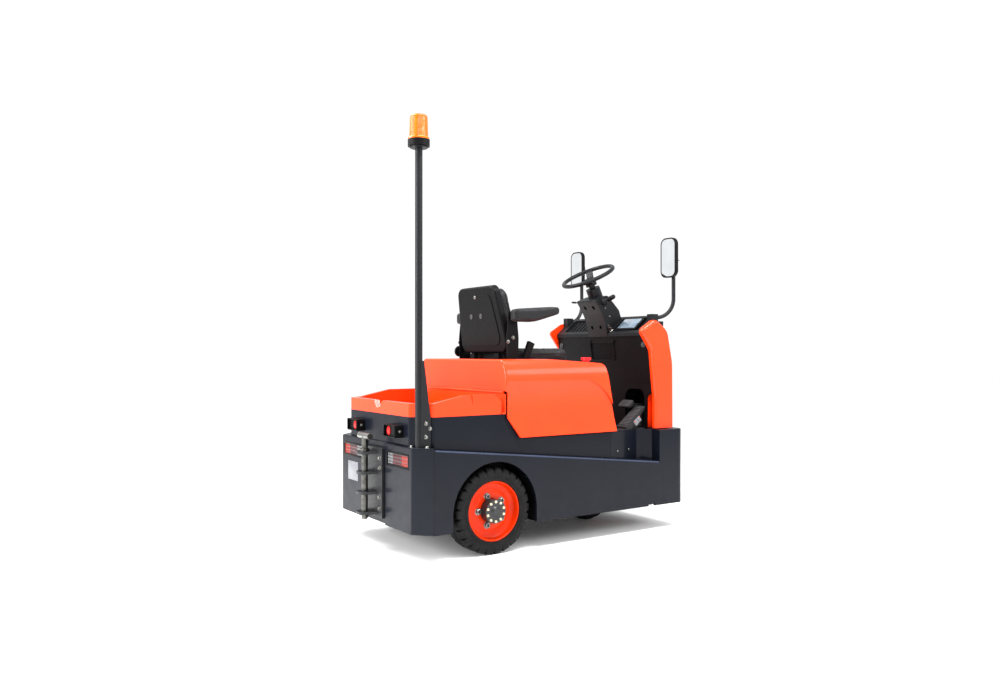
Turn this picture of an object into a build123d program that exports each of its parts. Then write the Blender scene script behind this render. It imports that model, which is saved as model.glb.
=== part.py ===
import os
from math import cos, pi, radians, sin, sqrt

from build123d import *

os.makedirs("parts", exist_ok=True)

# Electric three-wheel tow tractor, in millimetres.
# X runs forward from the rear face, Y to the left, Z up from the floor.
# The whole is moved along X at the end, so that its origin lies under its middle.

# Clearances
fit_gap = 0.3
running_gap = 0.4
pin_play = 0.6

# Lower body
body_length = 1850
body_width = 1040
ground_clearance = 148
rear_deck_height = 586
rear_corner_cut = 85
rear_corner_radius = 16
bumper_thickness = 30
bumper_edge_radius = 6
deck_thickness = 8
hitch_recess_width = 268
hitch_recess_depth = 15
skirt_thickness = 18
skirt_edge_radius = 9
skirt_notch_setback = 90
skirt_notch_length = 55
skirt_notch_height = 13
ledge_width = 60
ledge_thickness = 10
sill_rear_step = 9
sill_front_step = 190
front_block_length = 212
front_corner_radius = 55
floor_height = 600
sheet = 6

# Frame
rail_inset = 220
rail_width = 60
rail_height = 100
rail_bottom = 300
pan_margin = 40

# Rear wheels
axle_x = 458
rear_tyre_diameter = 460
rear_tyre_width = 150
rear_rim_diameter = 320
tyre_inset = 15
rim_lip_inset = 5
rim_wall = 8
disc_inset = 40
disc_thickness = 12
hub_diameter = 125
hub_reach = 14
hub_flange_diameter = 215
hub_flange_thickness = 14
cap_diameter = 58
cap_height = 9
arch_clearance = 33
lug_count = 26
tyre_facets = 52
lug_groove_width = 13
lug_groove_depth = 12
lug_groove_length = 40
tyre_shoulder_height = 34
tyre_shoulder_width = 24
axle_tube_diameter = 100
axle_tube_gap = 15
gearcase_diameter = 220
gearcase_width = 150
gearcase_rise = 10
motor_diameter = 200
motor_length = 250
motor_rise = 30
saddle_length = 120

# Front wheel and fork
steer_setback = 158
front_tyre_diameter = 400
front_tyre_width = 130
front_rim_diameter = 250
front_rim_inset = 4
front_hub_reach = 8
front_disc_thickness = 20
fork_plate = 15
fork_width = 100
fork_gap = 8
crown_gap = 15
crown_thickness = 25
slew_diameter = 140
slew_height = 25
kingpin_diameter = 60
kingpin_rise = 30
front_axle_diameter = 40
turret_thickness = 20
turret_length = 300

# Upper rear body and cargo tray
rear_body_x = 22
rear_body_corner_cut = 98
rear_body_corner_radius = 15
rear_body_rise = 151
tray_rear_rise = 69
tray_wing_rise = 107
tray_wing_start = 305
tray_wing_end = 489
tray_wing_drop = 40
tray_front_x = 530
tray_rim_width = 34
tray_floor_thickness = 9
tray_corner_radius = 14
tray_notch_width = 100
tray_notch_depth = 40
flute_end_x = 352
flute_rear_rise = 25
flute_front_rise = 48
flute_depth = 9
seam_top_x = 535
seam_lower_x = 660
seam_foot = 12

# Seat hood, a moulded cover hinged along its rear edge
hood_gap = 15
hood_wall = 6
hood_overhang = 22
hood_bottom_gap = 6
hood_top = 1030
hood_front_drop = 27
hood_front_overhang = 32
hood_front_lean = 80
hood_break_run = 315
hood_nose_radius = 34
hood_edge_radius = 12
hood_crown_inset = 44
hood_crown_radius = 36
crease_drop = 118
crease_setback = 272
crease_tip_setback = 2
hood_recess_depth = 10
well_margin = 60
well_setback = 67
well_depth = 80
hinge_rise = 8
hinge_clearance = 1
hinge_barrel_diameter = 14
hinge_pin_diameter = 6
hinge_pin_length = 40
hinge_centre_length = 300
hinge_end_margin = 20
hood_seam_lean = 0.75
battery_setback = 155
battery_front_gap = 22
battery_side_gap = 82
battery_top_gap = 25

# Steps
step_length = 338
riser_inset = 60
riser_rear_inset = 5
riser_corner_length = 70
riser_corner_radius = 60

# Front cowl, knee panel, dashboard
cowl_inset = 50
cowl_side_wall = 30
cowl_front_wall = 12
cowl_edge_radius = 20
cowl_foot_gap = 4
knee_thickness = 10
knee_height = 570
knee_bend_height = 270
knee_lean = 44
pedal_arch_width = 176
pedal_arch_height = 240
pedal_arch_radius = 55
pedal_arch_inset = 150
side_opening_width = 42
side_opening_height = 212
side_opening_radius = 34
pocket_width = 230
pocket_height = 122
pocket_top_drop = 34
pocket_centre_y = -20
pocket_depth = 5
pocket_radius = 12
dash_end_gap = 0.3
dash_pocket_margin = 22
dash_pocket_depth = 14
dash_pocket_radius = 14
dash_slot_length = 116
ear_length = 50
ear_width = 46
ear_height = 94
ear_rise = 40
ear_setback = 50
accelerator_width = 85
accelerator_inset = 40
accelerator_setback = 160
accelerator_length = 152
accelerator_rise = 122
accelerator_thickness = 16
accelerator_foot = 40
brake_pad_width = 108
brake_pad_height = 60
brake_pad_thickness = 14
brake_pad_tilt = 40
brake_pad_setback = 48
brake_pad_rise = 146
brake_pad_inset = 163
brake_arm_width = 18
brake_arm_depth = 34
brake_arm_reach = 120
lamp_panel_inset = 70
lamp_panel_rise = 40
lamp_panel_height = 140
lamp_panel_depth = 14
headlamp_diameter = 110
headlamp_spacing = 560
headlamp_depth = 10

# Steering
column_half_width = 95
column_hole_diameter = 24
column_hole_depth = 14
column_hole_spacing = 82
column_hole_rows = (60, 185)
steering_tilt = 26
steering_setback = 126
steering_rise = 390
steering_wheel_diameter = 360
steering_rim_diameter = 26
steering_dish = 45
steering_hub_diameter = 74
steering_hub_height = 40
steering_shaft_diameter = 40
steering_head_diameter = 92
steering_head_length = 105
spoke_turn = 45
spoke_width = 44
spoke_thickness = 12
lever_root_setback = 40
lever_root_rise = 222
lever_housing_length = 60
lever_housing_height = 48
lever_housing_reach = 26
lever_diameter = 28
lever_reach = 150
lever_lean = 30
lever_rise = 60
stalk_housing_length = 44
stalk_housing_height = 40
stalk_housing_reach = 18
stalk_diameter = 13
stalk_reach = 110
stalk_lean = -30
stalk_rise = 10

# Seat
seat_half_width = 240
seat_setback = 100
seat_mount_height = 50
seat_pan_thickness = 12
seat_pan_tail = 60
seat_pan_front_gap = 30
seat_runner_y = 150
seat_runner_width = 40
seat_runner_front_gap = 80
cushion_setback = 48
cushion_length = 445
cushion_thickness = 92
cushion_corner_radius = 60
back_tilt = 10
back_lift = 62
back_height = 395
back_shell_depth = 42
back_shell_radius = 14
back_panel_margin = 46
back_panel_height = 4
back_cushion_depth = 80
back_cushion_margin = 14
back_cushion_lift = 40
back_bottom_half_width = 252
back_top_half_width = 200
back_corner_radius = 55
upright_inner = 110
upright_width = 45
upright_depth = 30
cheek_gap = 4
cheek_foot_half = 36
cheek_waist_half = 40
cheek_waist_rise = 152
cheek_top_half = 26
cheek_top_rise = 20
armrest_bracket_thickness = 10
armrest_gap = 6
armrest_width = 52
armrest_length = 330
armrest_rear_height = 74
armrest_tip_height = 44
armrest_tip_rise = 22
armrest_tail = 30
armrest_flat = 150
armrest_corner_radius = 16
armrest_edge_radius = 9
armrest_setback = 26
armrest_rise = 278
armrest_pin_diameter = 20
armrest_pin_reach = 31
belt_gap = 8
belt_width = 24
belt_foot_x = 60
belt_foot_length = 35
belt_lean = 52
belt_length = 38
belt_height = 118
belt_tip_rise = 16

# Mirrors
mirror_width = 128
mirror_height = 246
mirror_depth = 30
mirror_corner_radius = 42
mirror_edge_radius = 10
mirror_rim = 8
mirror_glass_depth = 4
mirror_front_gap = 72
mirror_inset = 70
mirror_rise = 485
mirror_arm_diameter = 24
mirror_arm_gap = 6
mirror_arm_bend = 118
mirror_arm_top = 30
mirror_arm_drop = 20
mirror_clamp_size = 40
mirror_clamp_lip = 4

# Beacon
pole_diameter = 38
pole_x = 45
pole_inset = 90
pole_length = 1519
gusset_thickness = 8
gusset_width = 57
gusset_square_height = 150
gusset_height = 440
beacon_plate_diameter = 90
beacon_plate_thickness = 8
beacon_base_diameter = 112
beacon_base_height = 34
beacon_flange_diameter = 110
beacon_flange_height = 12
beacon_lens_diameter = 98
beacon_lens_taper = 6
beacon_lens_height = 127
beacon_crown_radius = 16

# Rear lamps and switches
tail_lamp_inner_margin = 24
tail_lamp_height = 71
tail_lamp_end_margin = 29
tail_lamp_drop = 40
tail_lamp_frame = 7
tail_lamp_sink = 4
tail_lens_proud = 2
tail_lens_depth = 18
switch_width = 131
switch_height = 67
switch_depth = 36
switch_end_margin = 59
switch_rise = 39
switch_radius = 8
switch_button_diameter = 48
switch_button_height = 12
switch_button_margin = 38

# Hitch
hitch_reach = 98
hitch_plate_margin = 14
hitch_plate_drop = 32
hitch_plate_thickness = 26
hitch_lug_count = 4
bottom_lug_rise = 21
top_lug_drop = 28
lug_thickness = 14
lug_half_width = 62
lug_nose_radius = 38
tow_pin_diameter = 34
tow_pin_setback = 42
tow_pin_foot = 35
tow_pin_collar_diameter = 50
tow_pin_collar_height = 14
tow_handle_rise = 90
tow_handle_diameter = 32
tow_handle_length = 134

# Emergency stop
stop_stem_diameter = 40
stop_stem_height = 14
stop_head_diameter = 60
stop_head_height = 16
stop_setback = 62

# Values that follow from the sizes above
half_width = body_width / 2
ledge_inner = half_width - ledge_width
skirt_inner = half_width - skirt_thickness
front_block_x = body_length - front_block_length
skirt_notch_x = front_block_x - skirt_notch_setback
step_rear_x = front_block_x - step_length
steer_x = front_block_x - steer_setback
rear_body_height = rear_deck_height + rear_body_rise
sill_rear_height = rear_deck_height - sill_rear_step
sill_front_height = floor_height - sill_front_step
wheel_height = rear_tyre_diameter / 2
front_wheel_height = front_tyre_diameter / 2
tyre_outer = half_width - tyre_inset
tyre_inner = tyre_outer - rear_tyre_width
rim_outer = tyre_outer - rim_lip_inset
disc_outer = rim_outer - disc_inset
disc_inner = disc_outer - disc_thickness
hub_outer = rim_outer + hub_reach
axle_end = tyre_inner - axle_tube_gap
rail_top = rail_bottom + rail_height
rail_outer = half_width - rail_inset + rail_width / 2
rail_inner = rail_outer - rail_width
pan_top = rail_top
pan_bottom = pan_top - sheet
crown_bottom = front_tyre_diameter + crown_gap
crown_top = crown_bottom + crown_thickness
turret_bottom = crown_top + slew_height + fit_gap
rear_flat = half_width - rear_corner_cut
body_flat = ledge_inner - rear_body_corner_cut
body_corner_x = rear_body_x + rear_body_corner_cut
tray_rear_height = rear_body_height + tray_rear_rise
tray_wing_height = rear_body_height + tray_wing_rise
hood_rear_x = tray_front_x + hood_gap
hood_half_width = ledge_inner + hood_overhang
hood_bottom = floor_height + hood_bottom_gap
hood_front_bottom_x = step_rear_x + hood_front_overhang
hood_front_top_x = hood_front_bottom_x - hood_front_lean
hood_front_top_height = hood_top - hood_front_drop
hood_break_x = hood_rear_x + hood_break_run
hood_crown_half_width = hood_half_width - hood_crown_inset
crease_height = hood_top - crease_drop
crease_bend_x = hood_front_bottom_x - crease_setback
crease_tip_x = hood_front_bottom_x - crease_tip_setback
hinge_height = tray_wing_height + hinge_rise
hinge_x = hood_rear_x + hood_wall / 2
hinge_top = hinge_height + hinge_barrel_diameter / 2 + hinge_clearance
hinge_foot = hinge_height - hinge_barrel_diameter / 2 - hinge_clearance
well_half_width = seat_half_width + well_margin
well_rear_x = hood_rear_x + well_setback
seat_deck_height = hood_top - well_depth
battery_rear_x = hood_rear_x + battery_setback
battery_front_x = hood_front_top_x - battery_front_gap
battery_half_width = hood_half_width - battery_side_gap
battery_top = seat_deck_height - battery_top_gap
riser_y = ledge_inner - riser_inset
cowl_half_width = half_width - cowl_inset
cowl_inside = cowl_half_width - cowl_side_wall
dash_reach = cowl_inside - dash_end_gap
knee_foot_x = front_block_x + knee_thickness
knee_top_x = knee_foot_x - knee_lean
knee_top = floor_height + knee_height
pedal_arch_y = pedal_arch_inset - cowl_inside
steering_centre_x = front_block_x - steering_setback
steering_centre_height = knee_top + steering_rise
back_bottom_x = well_rear_x + seat_setback
cushion_bottom = seat_deck_height + seat_mount_height
cushion_rear_x = back_bottom_x + cushion_setback
cushion_front_x = cushion_rear_x + cushion_length
back_bottom = cushion_bottom + back_lift
pan_plate_top = cushion_bottom - fit_gap
pan_plate_bottom = pan_plate_top - seat_pan_thickness
cheek_inner = back_bottom_half_width + cheek_gap
cheek_outer = cheek_inner + armrest_bracket_thickness
armrest_pivot_x = back_bottom_x + armrest_setback
armrest_pivot_height = cushion_bottom + armrest_rise
mirror_face_x = body_length - mirror_front_gap
mirror_y = half_width - mirror_inset
mirror_z = knee_top + mirror_rise
pole_y = pole_inset - half_width
pole_top = rear_deck_height + pole_length
beacon_base_bottom = pole_top + beacon_plate_thickness
beacon_lens_bottom = beacon_base_bottom + beacon_base_height
tail_lamp_inner_y = hitch_recess_width / 2 + tail_lamp_inner_margin
tail_lamp_width = rear_flat - tail_lamp_end_margin - tail_lamp_inner_y
tail_lamp_bottom = rear_deck_height - tail_lamp_drop - tail_lamp_height
switch_inner_y = body_flat - switch_end_margin - switch_width
switch_bottom = rear_deck_height + switch_rise
hitch_plate_half_width = hitch_recess_width / 2 - hitch_plate_margin
hitch_plate_bottom = ground_clearance + hitch_plate_drop
hitch_plate_top = rear_deck_height - hitch_plate_drop
bottom_lug = hitch_plate_bottom + bottom_lug_rise
top_lug = hitch_plate_top - top_lug_drop
lug_spacing = (top_lug - bottom_lug) / (hitch_lug_count - 1)
tow_pin_x = tow_pin_setback - hitch_reach
origin_shift = (hitch_reach - body_length) / 2


# Shape helpers: side profiles are (x, z), plans are (x, y), cross sections are (y, z)

def block(x_low, x_high, y_low, y_high, z_low, z_high):
    size = (x_high - x_low, y_high - y_low, z_high - z_low)
    return Pos((x_low + x_high) / 2, (y_low + y_high) / 2, (z_low + z_high) / 2) * Box(*size)


def outline_face(points):
    # Each point is (across, up), with a corner radius as a third value where the corner is round
    face = make_face(Polyline(*[point[:2] for point in points], close=True)).face()
    for across, up, *radius in points:
        if radius:
            corner = face.vertices().sort_by_distance((across, up, 0))[0]
            face = face.fillet_2d(radius[0], [corner])
    return face


def side_prism(points, y_low, y_high):
    face = Plane.XZ * outline_face(points)
    return Pos(0, y_low, 0) * extrude(face, amount=y_high - y_low, dir=(0, 1, 0))


def plan_prism(points, z_low, z_high):
    return Pos(0, 0, z_low) * extrude(outline_face(points), amount=z_high - z_low, dir=(0, 0, 1))


def cross_prism(points, x_low, x_high):
    face = Plane.YZ * outline_face(points)
    return Pos(x_low, 0, 0) * extrude(face, amount=x_high - x_low, dir=(1, 0, 0))


def rod(start, end, diameter):
    way = Vector(*end) - Vector(*start)
    return extrude(Plane(origin=start, z_dir=way) * Circle(diameter / 2), amount=way.length, dir=way)


def turned(points):
    # Section of (radius, distance along the axis), turned about the Y axis through the origin
    face = make_face(Polyline(*[(radius, along, 0) for radius, along in points], close=True))
    return revolve(face, axis=Axis.Y)


def window(y_centre, z_centre, width, height, radius, x_low, x_high):
    # Rounded opening seen along X
    half = width / 2
    rise = height / 2
    corners = [(-half, -rise), (half, -rise), (half, rise), (-half, rise)]
    return cross_prism([(y_centre + y, z_centre + z, radius) for y, z in corners], x_low, x_high)


def other_side(shape):
    return mirror(shape, about=Plane.XZ)


def both_sides(shape):
    return Compound([*shape.solids(), *other_side(shape).solids()])


def sill_height(x):
    run = front_block_x - rear_corner_cut
    return sill_rear_height + (sill_front_height - sill_rear_height) * (x - rear_corner_cut) / run


# Lower body

def chassis_frame():
    frame_front = body_length - bumper_thickness
    rail = block(bumper_thickness, frame_front, rail_inner, rail_outer, rail_bottom, rail_top)
    pan = block(battery_rear_x - pan_margin, step_rear_x, -skirt_inner, skirt_inner, pan_bottom, pan_top)
    turret_rear = steer_x - turret_length / 2
    turret_front = steer_x + turret_length / 2
    turret_top = turret_bottom + turret_thickness
    bridge = block(turret_rear, turret_front, -rail_outer, rail_outer, rail_top, turret_top)
    bridge -= block(turret_rear, turret_front, -rail_inner, rail_inner, rail_top, turret_bottom)
    bridge -= rod((steer_x, 0, turret_bottom), (steer_x, 0, turret_top), kingpin_diameter + pin_play)
    tail = block(bumper_thickness, bumper_thickness + rail_width, -rail_inner, rail_inner, rail_bottom, rail_top)
    nose = block(frame_front - rail_width, frame_front, -rail_inner, rail_inner, rail_bottom, rail_top)
    return rail + other_side(rail) + pan + bridge + tail + nose


def rear_bumper():
    # Thick plate round the back with its corners cut off, and a deck on top
    front = rear_corner_cut
    thick = bumper_thickness
    slant = thick * sqrt(2)
    lean = slant - thick
    bumper = plan_prism(
        [
            (front, -half_width), (0, -rear_flat, rear_corner_radius),
            (0, rear_flat, rear_corner_radius), (front, half_width),
        ],
        ground_clearance, rear_deck_height,
    )
    rim = [edge for edge in bumper.edges().group_by(Axis.Z)[-1] if edge.center().X < front - fit_gap]
    bumper = fillet(rim, bumper_edge_radius)
    bumper -= plan_prism(
        [
            (front, slant - half_width), (thick, lean - rear_flat),
            (thick, rear_flat - lean), (front, half_width - slant),
        ],
        ground_clearance, rear_deck_height - deck_thickness,
    )
    recess = hitch_recess_width / 2
    bumper -= block(0, hitch_recess_depth, -recess, recess, ground_clearance, rear_deck_height)
    lamp = tail_lamp_opening()
    return bumper - lamp - other_side(lamp)


def tail_lamp_opening():
    return block(
        0, bumper_thickness, tail_lamp_inner_y, tail_lamp_inner_y + tail_lamp_width,
        tail_lamp_bottom, tail_lamp_bottom + tail_lamp_height,
    )


def side_skirt():
    rear = rear_corner_cut
    front = front_block_x
    edge = [(rear, sill_height(rear)), (front, sill_height(front))]
    under = [(front, sill_height(front) - ledge_thickness), (rear, sill_height(rear) - ledge_thickness)]
    skirt = side_prism([(rear, ground_clearance), *edge, (front, ground_clearance)], skirt_inner, half_width)
    skirt = skirt + side_prism(edge + under, ledge_inner, half_width)
    skirt = fillet(skirt.edges().group_by(Axis.Y)[-1].sort_by(Axis.Z)[-1], skirt_edge_radius)
    arch_radius = wheel_height + arch_clearance
    arch = rod((axle_x, skirt_inner, wheel_height), (axle_x, half_width, wheel_height), 2 * arch_radius)
    slot = block(
        axle_x - arch_radius, axle_x + arch_radius, skirt_inner, half_width, ground_clearance, wheel_height
    )
    notch = block(
        skirt_notch_x, skirt_notch_x + skirt_notch_length, skirt_inner, half_width,
        ground_clearance, ground_clearance + skirt_notch_height,
    )
    return skirt - arch - slot - notch


def front_bumper():
    rear = front_block_x
    front = body_length
    side = half_width
    shell = plan_prism(
        [(rear, -side), (front, -side, front_corner_radius), (front, side, front_corner_radius), (rear, side)],
        ground_clearance, floor_height,
    )
    rim = [edge for edge in shell.edges().group_by(Axis.Z)[-1] if edge.center().X > rear + fit_gap]
    shell = fillet(rim, bumper_edge_radius)
    rear = rear + bumper_thickness
    front = front - bumper_thickness
    side = skirt_inner
    corner = front_corner_radius - bumper_thickness
    ceiling = floor_height - deck_thickness
    shell -= plan_prism(
        [(rear, -side), (front, -side, corner), (front, side, corner), (rear, side)], ground_clearance, ceiling
    )
    return shell - block(front_block_x, rear, -riser_y, riser_y, ground_clearance, ceiling)


# Upper body

def rear_body_plan(inset):
    corner = rear_body_corner_radius - inset
    lean = inset * (sqrt(2) - 1)
    side = ledge_inner - inset
    flat = body_flat - lean
    front = seam_lower_x
    return [
        (front, -side), (body_corner_x + lean, -side, corner), (rear_body_x + inset, -flat, corner),
        (rear_body_x + inset, flat, corner), (body_corner_x + lean, side, corner), (front, side),
    ]


def seam_height():
    return sill_height(seam_lower_x) + seam_foot


def rear_body():
    skin = plan_prism(rear_body_plan(0), ground_clearance, rear_body_height)
    skin -= plan_prism(rear_body_plan(sheet), ground_clearance, rear_body_height - sheet)
    side = [
        (0, rear_deck_height), (rear_corner_cut, rear_deck_height),
        (rear_corner_cut, sill_height(rear_corner_cut) - ledge_thickness),
        (seam_lower_x, sill_height(seam_lower_x) - ledge_thickness),
        (seam_lower_x, seam_height()), (seam_top_x, rear_body_height), (0, rear_body_height),
    ]
    return skin & side_prism(side, -half_width, half_width)


def battery_side_panel():
    run = (seam_lower_x - seam_top_x) / (rear_body_height - seam_height())
    seam_x = seam_lower_x - run * (floor_height - seam_height())
    outline = [
        (seam_lower_x + fit_gap, sill_height(seam_lower_x) - ledge_thickness),
        (seam_lower_x + fit_gap, seam_height()), (seam_x + fit_gap, floor_height),
        (step_rear_x, floor_height), (step_rear_x, sill_height(step_rear_x) - ledge_thickness),
    ]
    return side_prism(outline, ledge_inner - sheet, ledge_inner)


def riser_line(inset):
    # Plan of the step's inner wall: it runs inwards to the front, then turns out again in a round corner
    corner_x = front_block_x - riser_corner_length
    return [
        (step_rear_x, ledge_inner - riser_rear_inset - inset),
        (corner_x, riser_y - inset, riser_corner_radius + inset),
        (front_block_x, ledge_inner - riser_rear_inset - inset),
    ]


def cab_floor():
    edge = riser_line(0)
    opposite = [(x, -y, *radius) for x, y, *radius in reversed(edge)]
    plate = plan_prism(edge + opposite, floor_height - sheet, floor_height)
    inner = list(reversed(riser_line(sheet)))
    wall = plan_prism(edge + inner, pan_top, floor_height)
    front_height = sill_height(front_block_x)
    rear_height = sill_height(step_rear_x)
    tread = side_prism(
        [
            (step_rear_x, rear_height - ledge_thickness), (step_rear_x, rear_height),
            (front_block_x, front_height), (front_block_x, front_height - ledge_thickness),
        ],
        0, ledge_inner,
    )
    tread &= plan_prism(
        [(front_block_x, ledge_inner), (step_rear_x, ledge_inner), *riser_line(sheet)], pan_bottom, floor_height
    )
    side = wall + tread
    bulkhead = block(step_rear_x, step_rear_x + sheet, -ledge_inner, ledge_inner, pan_top, floor_height)
    return plate + side + other_side(side) + bulkhead


def tray_plan(inset):
    corner = tray_corner_radius
    lean = inset * (sqrt(2) - 1)
    side = ledge_inner - inset
    flat = body_flat - lean
    return [
        (tray_front_x, -side), (body_corner_x + lean, -side, corner), (rear_body_x + inset, -flat, corner),
        (rear_body_x + inset, flat, corner), (body_corner_x + lean, side, corner), (tray_front_x, side),
    ]


def tray_flute():
    # Scooped field on the outside of the wing, above a rising ridge
    rise = flute_front_rise - flute_rear_rise
    run = flute_end_x - body_corner_x
    start = (body_corner_x, ledge_inner, rear_body_height + flute_rear_rise)
    wedge = outline_face([(0, 0), (-flute_depth, tray_rear_rise), (flute_depth, tray_rear_rise), (flute_depth, 0)])
    way = Vector(run, 0, rise)
    return extrude(Plane(origin=start, x_dir=(0, 1, 0), z_dir=way) * wedge, amount=way.length, dir=way)


def cargo_tray():
    rim = [
        (0, rear_body_height), (0, tray_rear_height), (body_corner_x, tray_rear_height),
        (tray_wing_start, tray_wing_height), (tray_wing_end, tray_wing_height),
        (tray_front_x, tray_wing_height - tray_wing_drop), (tray_front_x, rear_body_height),
    ]
    tray = plan_prism(tray_plan(0), rear_body_height, tray_wing_height)
    tray &= side_prism(rim, -ledge_inner, ledge_inner)
    tray -= plan_prism(tray_plan(tray_rim_width), rear_body_height + tray_floor_thickness, tray_wing_height)
    flute = tray_flute()
    tray = tray - flute - other_side(flute)
    notch = tray_notch_width / 2
    notch_floor = tray_rear_height - tray_notch_depth
    return tray - cross_prism(
        [(-notch, tray_rear_height), (-notch / 2, notch_floor), (notch / 2, notch_floor), (notch, tray_rear_height)],
        0, rear_body_x + tray_rim_width,
    )


def hinge_barrel(y_low, y_high, bore):
    barrel = rod((hinge_x, y_low, hinge_height), (hinge_x, y_high, hinge_height), hinge_barrel_diameter)
    if bore:
        barrel -= rod((hinge_x, y_low, hinge_height), (hinge_x, y_high, hinge_height), bore)
    return barrel


def tray_bulkhead():
    # Fixed wall behind the tray: the hood's hinge runs along its top
    reach = ledge_inner + hood_overhang - 2 * hood_wall
    wall_front = hood_rear_x + hood_wall
    wall = block(hood_rear_x, wall_front, -reach, reach, rear_body_height, hinge_foot)
    floor_top = rear_body_height + tray_floor_thickness
    foot = block(tray_front_x, hood_rear_x, -reach, reach, rear_body_height, floor_top)
    inner = hinge_centre_length / 2 + hinge_clearance
    outer = reach - hinge_end_margin
    leaf = block(hood_rear_x, wall_front, inner, outer, hinge_foot, hinge_height)
    pin = rod((hinge_x, inner - hinge_pin_length, hinge_height), (hinge_x, inner, hinge_height), hinge_pin_diameter)
    hinge = leaf + hinge_barrel(inner, outer, 0) + pin
    return wall + foot + hinge + other_side(hinge)


def hood_form(inset):
    # Side outline crossed with a cross section: upright sides that bend in over an arc to the flat top
    low = hood_bottom - inset
    top = hood_top - inset
    fall = hood_front_lean / (hood_front_top_height - hood_bottom)
    outline = [
        (hood_rear_x + inset, low), (hood_rear_x + inset, top), (hood_break_x, top),
        (hood_front_top_x - inset, hood_front_top_height - inset, hood_nose_radius),
        (hood_front_bottom_x - inset + fall * inset, low),
    ]
    side = hood_half_width - inset
    crown = hood_crown_half_width - inset
    rise = top - crease_height
    bend = (rise ** 2 + hood_crown_inset ** 2) / (2 * hood_crown_inset)
    half_turn = radians(45) * rise / bend
    middle = (side - bend * (1 - cos(half_turn)), crease_height + bend * sin(half_turn))
    section = make_face(
        Polyline((crown, top), (-crown, top))
        + ThreePointArc((-crown, top), (-middle[0], middle[1]), (-side, crease_height))
        + Polyline((-side, crease_height), (-side, low), (side, low), (side, crease_height))
        + ThreePointArc((side, crease_height), middle, (crown, top))
    ).face()
    corners = [vertex for vertex in section.vertices() if vertex.Y > top - fit_gap]
    section = section.fillet_2d(hood_crown_radius, corners)
    bar = extrude(Plane.YZ * section, amount=body_length, dir=(1, 0, 0))
    return side_prism(outline, -side, side) & bar


def hood_outside():
    form = hood_form(0)
    rear_edges = [
        edge for edge in form.edges()
        if abs(edge.center().X - hood_rear_x) < fit_gap and edge.center().Z > hood_bottom + fit_gap
    ]
    return fillet(rear_edges, hood_edge_radius)


def seat_well(grow):
    return block(
        well_rear_x - grow, body_length, -well_half_width - grow, well_half_width + grow,
        seat_deck_height - grow, hood_top + grow,
    )


def side_recess():
    # Hollow field below the crease, which runs level and then sweeps down to the front foot
    bend = (crease_bend_x, crease_height)
    tip = (crease_tip_x, hood_bottom)
    outline = Plane.XZ * (
        Polyline((hood_rear_x, crease_height), bend)
        + TangentArc(bend, tip, tangent=(1, 0))
        + Polyline(tip, (hood_rear_x, hood_bottom), (hood_rear_x, crease_height))
    )
    field = Pos(0, ledge_inner - hood_wall, 0) * extrude(make_face(outline), amount=ledge_width, dir=(0, 1, 0))
    middle = (hood_half_width - hood_recess_depth, (crease_height + hood_bottom) / 2)
    beyond = hood_half_width + hood_recess_depth
    hollow = Plane.YZ * make_face(
        ThreePointArc((hood_half_width, hood_bottom), middle, (hood_half_width, crease_height))
        + Polyline(
            (hood_half_width, crease_height), (beyond, crease_height),
            (beyond, hood_bottom), (hood_half_width, hood_bottom),
        )
    )
    return field & extrude(hollow, amount=body_length, dir=(1, 0, 0))


def seat_hood():
    hood = hood_outside() - seat_well(0)
    recess = side_recess()
    hood = hood - recess - other_side(recess)
    thick = hood_wall + hood_recess_depth
    hood -= hood_form(thick) - seat_well(hood_wall)
    run = (rear_body_height - hood_bottom) * hood_seam_lean
    corner = [(hood_rear_x, hood_bottom), (hood_rear_x, rear_body_height), (hood_rear_x + run, hood_bottom)]
    hood -= side_prism(corner, -half_width, half_width)
    reach = hood_half_width - hood_wall
    hood -= block(hood_rear_x, hood_rear_x + thick, -reach, reach, hood_bottom, hinge_top)
    half = hinge_centre_length / 2
    leaf = block(hood_rear_x, hood_rear_x + hood_wall, -half, half, hinge_height, hinge_top)
    bore = rod((hinge_x, -half, hinge_height), (hinge_x, half, hinge_height), hinge_pin_diameter + pin_play)
    return hood + (leaf + hinge_barrel(-half, half, 0) - bore)


def battery_block():
    return block(
        battery_rear_x, battery_front_x, -battery_half_width, battery_half_width, pan_top, battery_top
    )


# Points of the cowl's side outline: distance behind the front face, height above the floor, corner radius
cowl_outline = (
    (196, cowl_foot_gap), (196, 189, 60), (229, 483, 60), (317, 601, 26), (192, 676, 56), (86, 604, 90),
    (44, 406, 200), (40, cowl_foot_gap),
)


def cowl_point(index):
    behind, above = cowl_outline[index][:2]
    return body_length - behind, floor_height + above


def front_cowl():
    points = [(body_length - behind, floor_height + above, *radius) for behind, above, *radius in cowl_outline]
    outer = side_prism(points, -cowl_half_width, cowl_half_width)
    foot_height = floor_height + cowl_foot_gap + fit_gap
    rims = outer.edges().group_by(Axis.Y)
    sides = [edge for edge in [*rims[0], *rims[-1]] if edge.center().Z > foot_height]
    outer = fillet(sides, cowl_edge_radius)
    shoulder_x, shoulder_height = cowl_point(5)
    nose_x, nose_height = cowl_point(6)
    foot_x, foot_height = cowl_point(7)
    wall = cowl_front_wall
    beyond = body_length - 2 * front_block_length
    cavity = [
        (beyond, floor_height), (beyond, 2 * shoulder_height), (shoulder_x - wall, 2 * shoulder_height),
        (shoulder_x - wall, shoulder_height), (nose_x - wall, nose_height), (foot_x - wall, foot_height),
        (foot_x - wall, floor_height),
    ]
    return outer - side_prism(cavity, -cowl_inside, cowl_inside)


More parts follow.
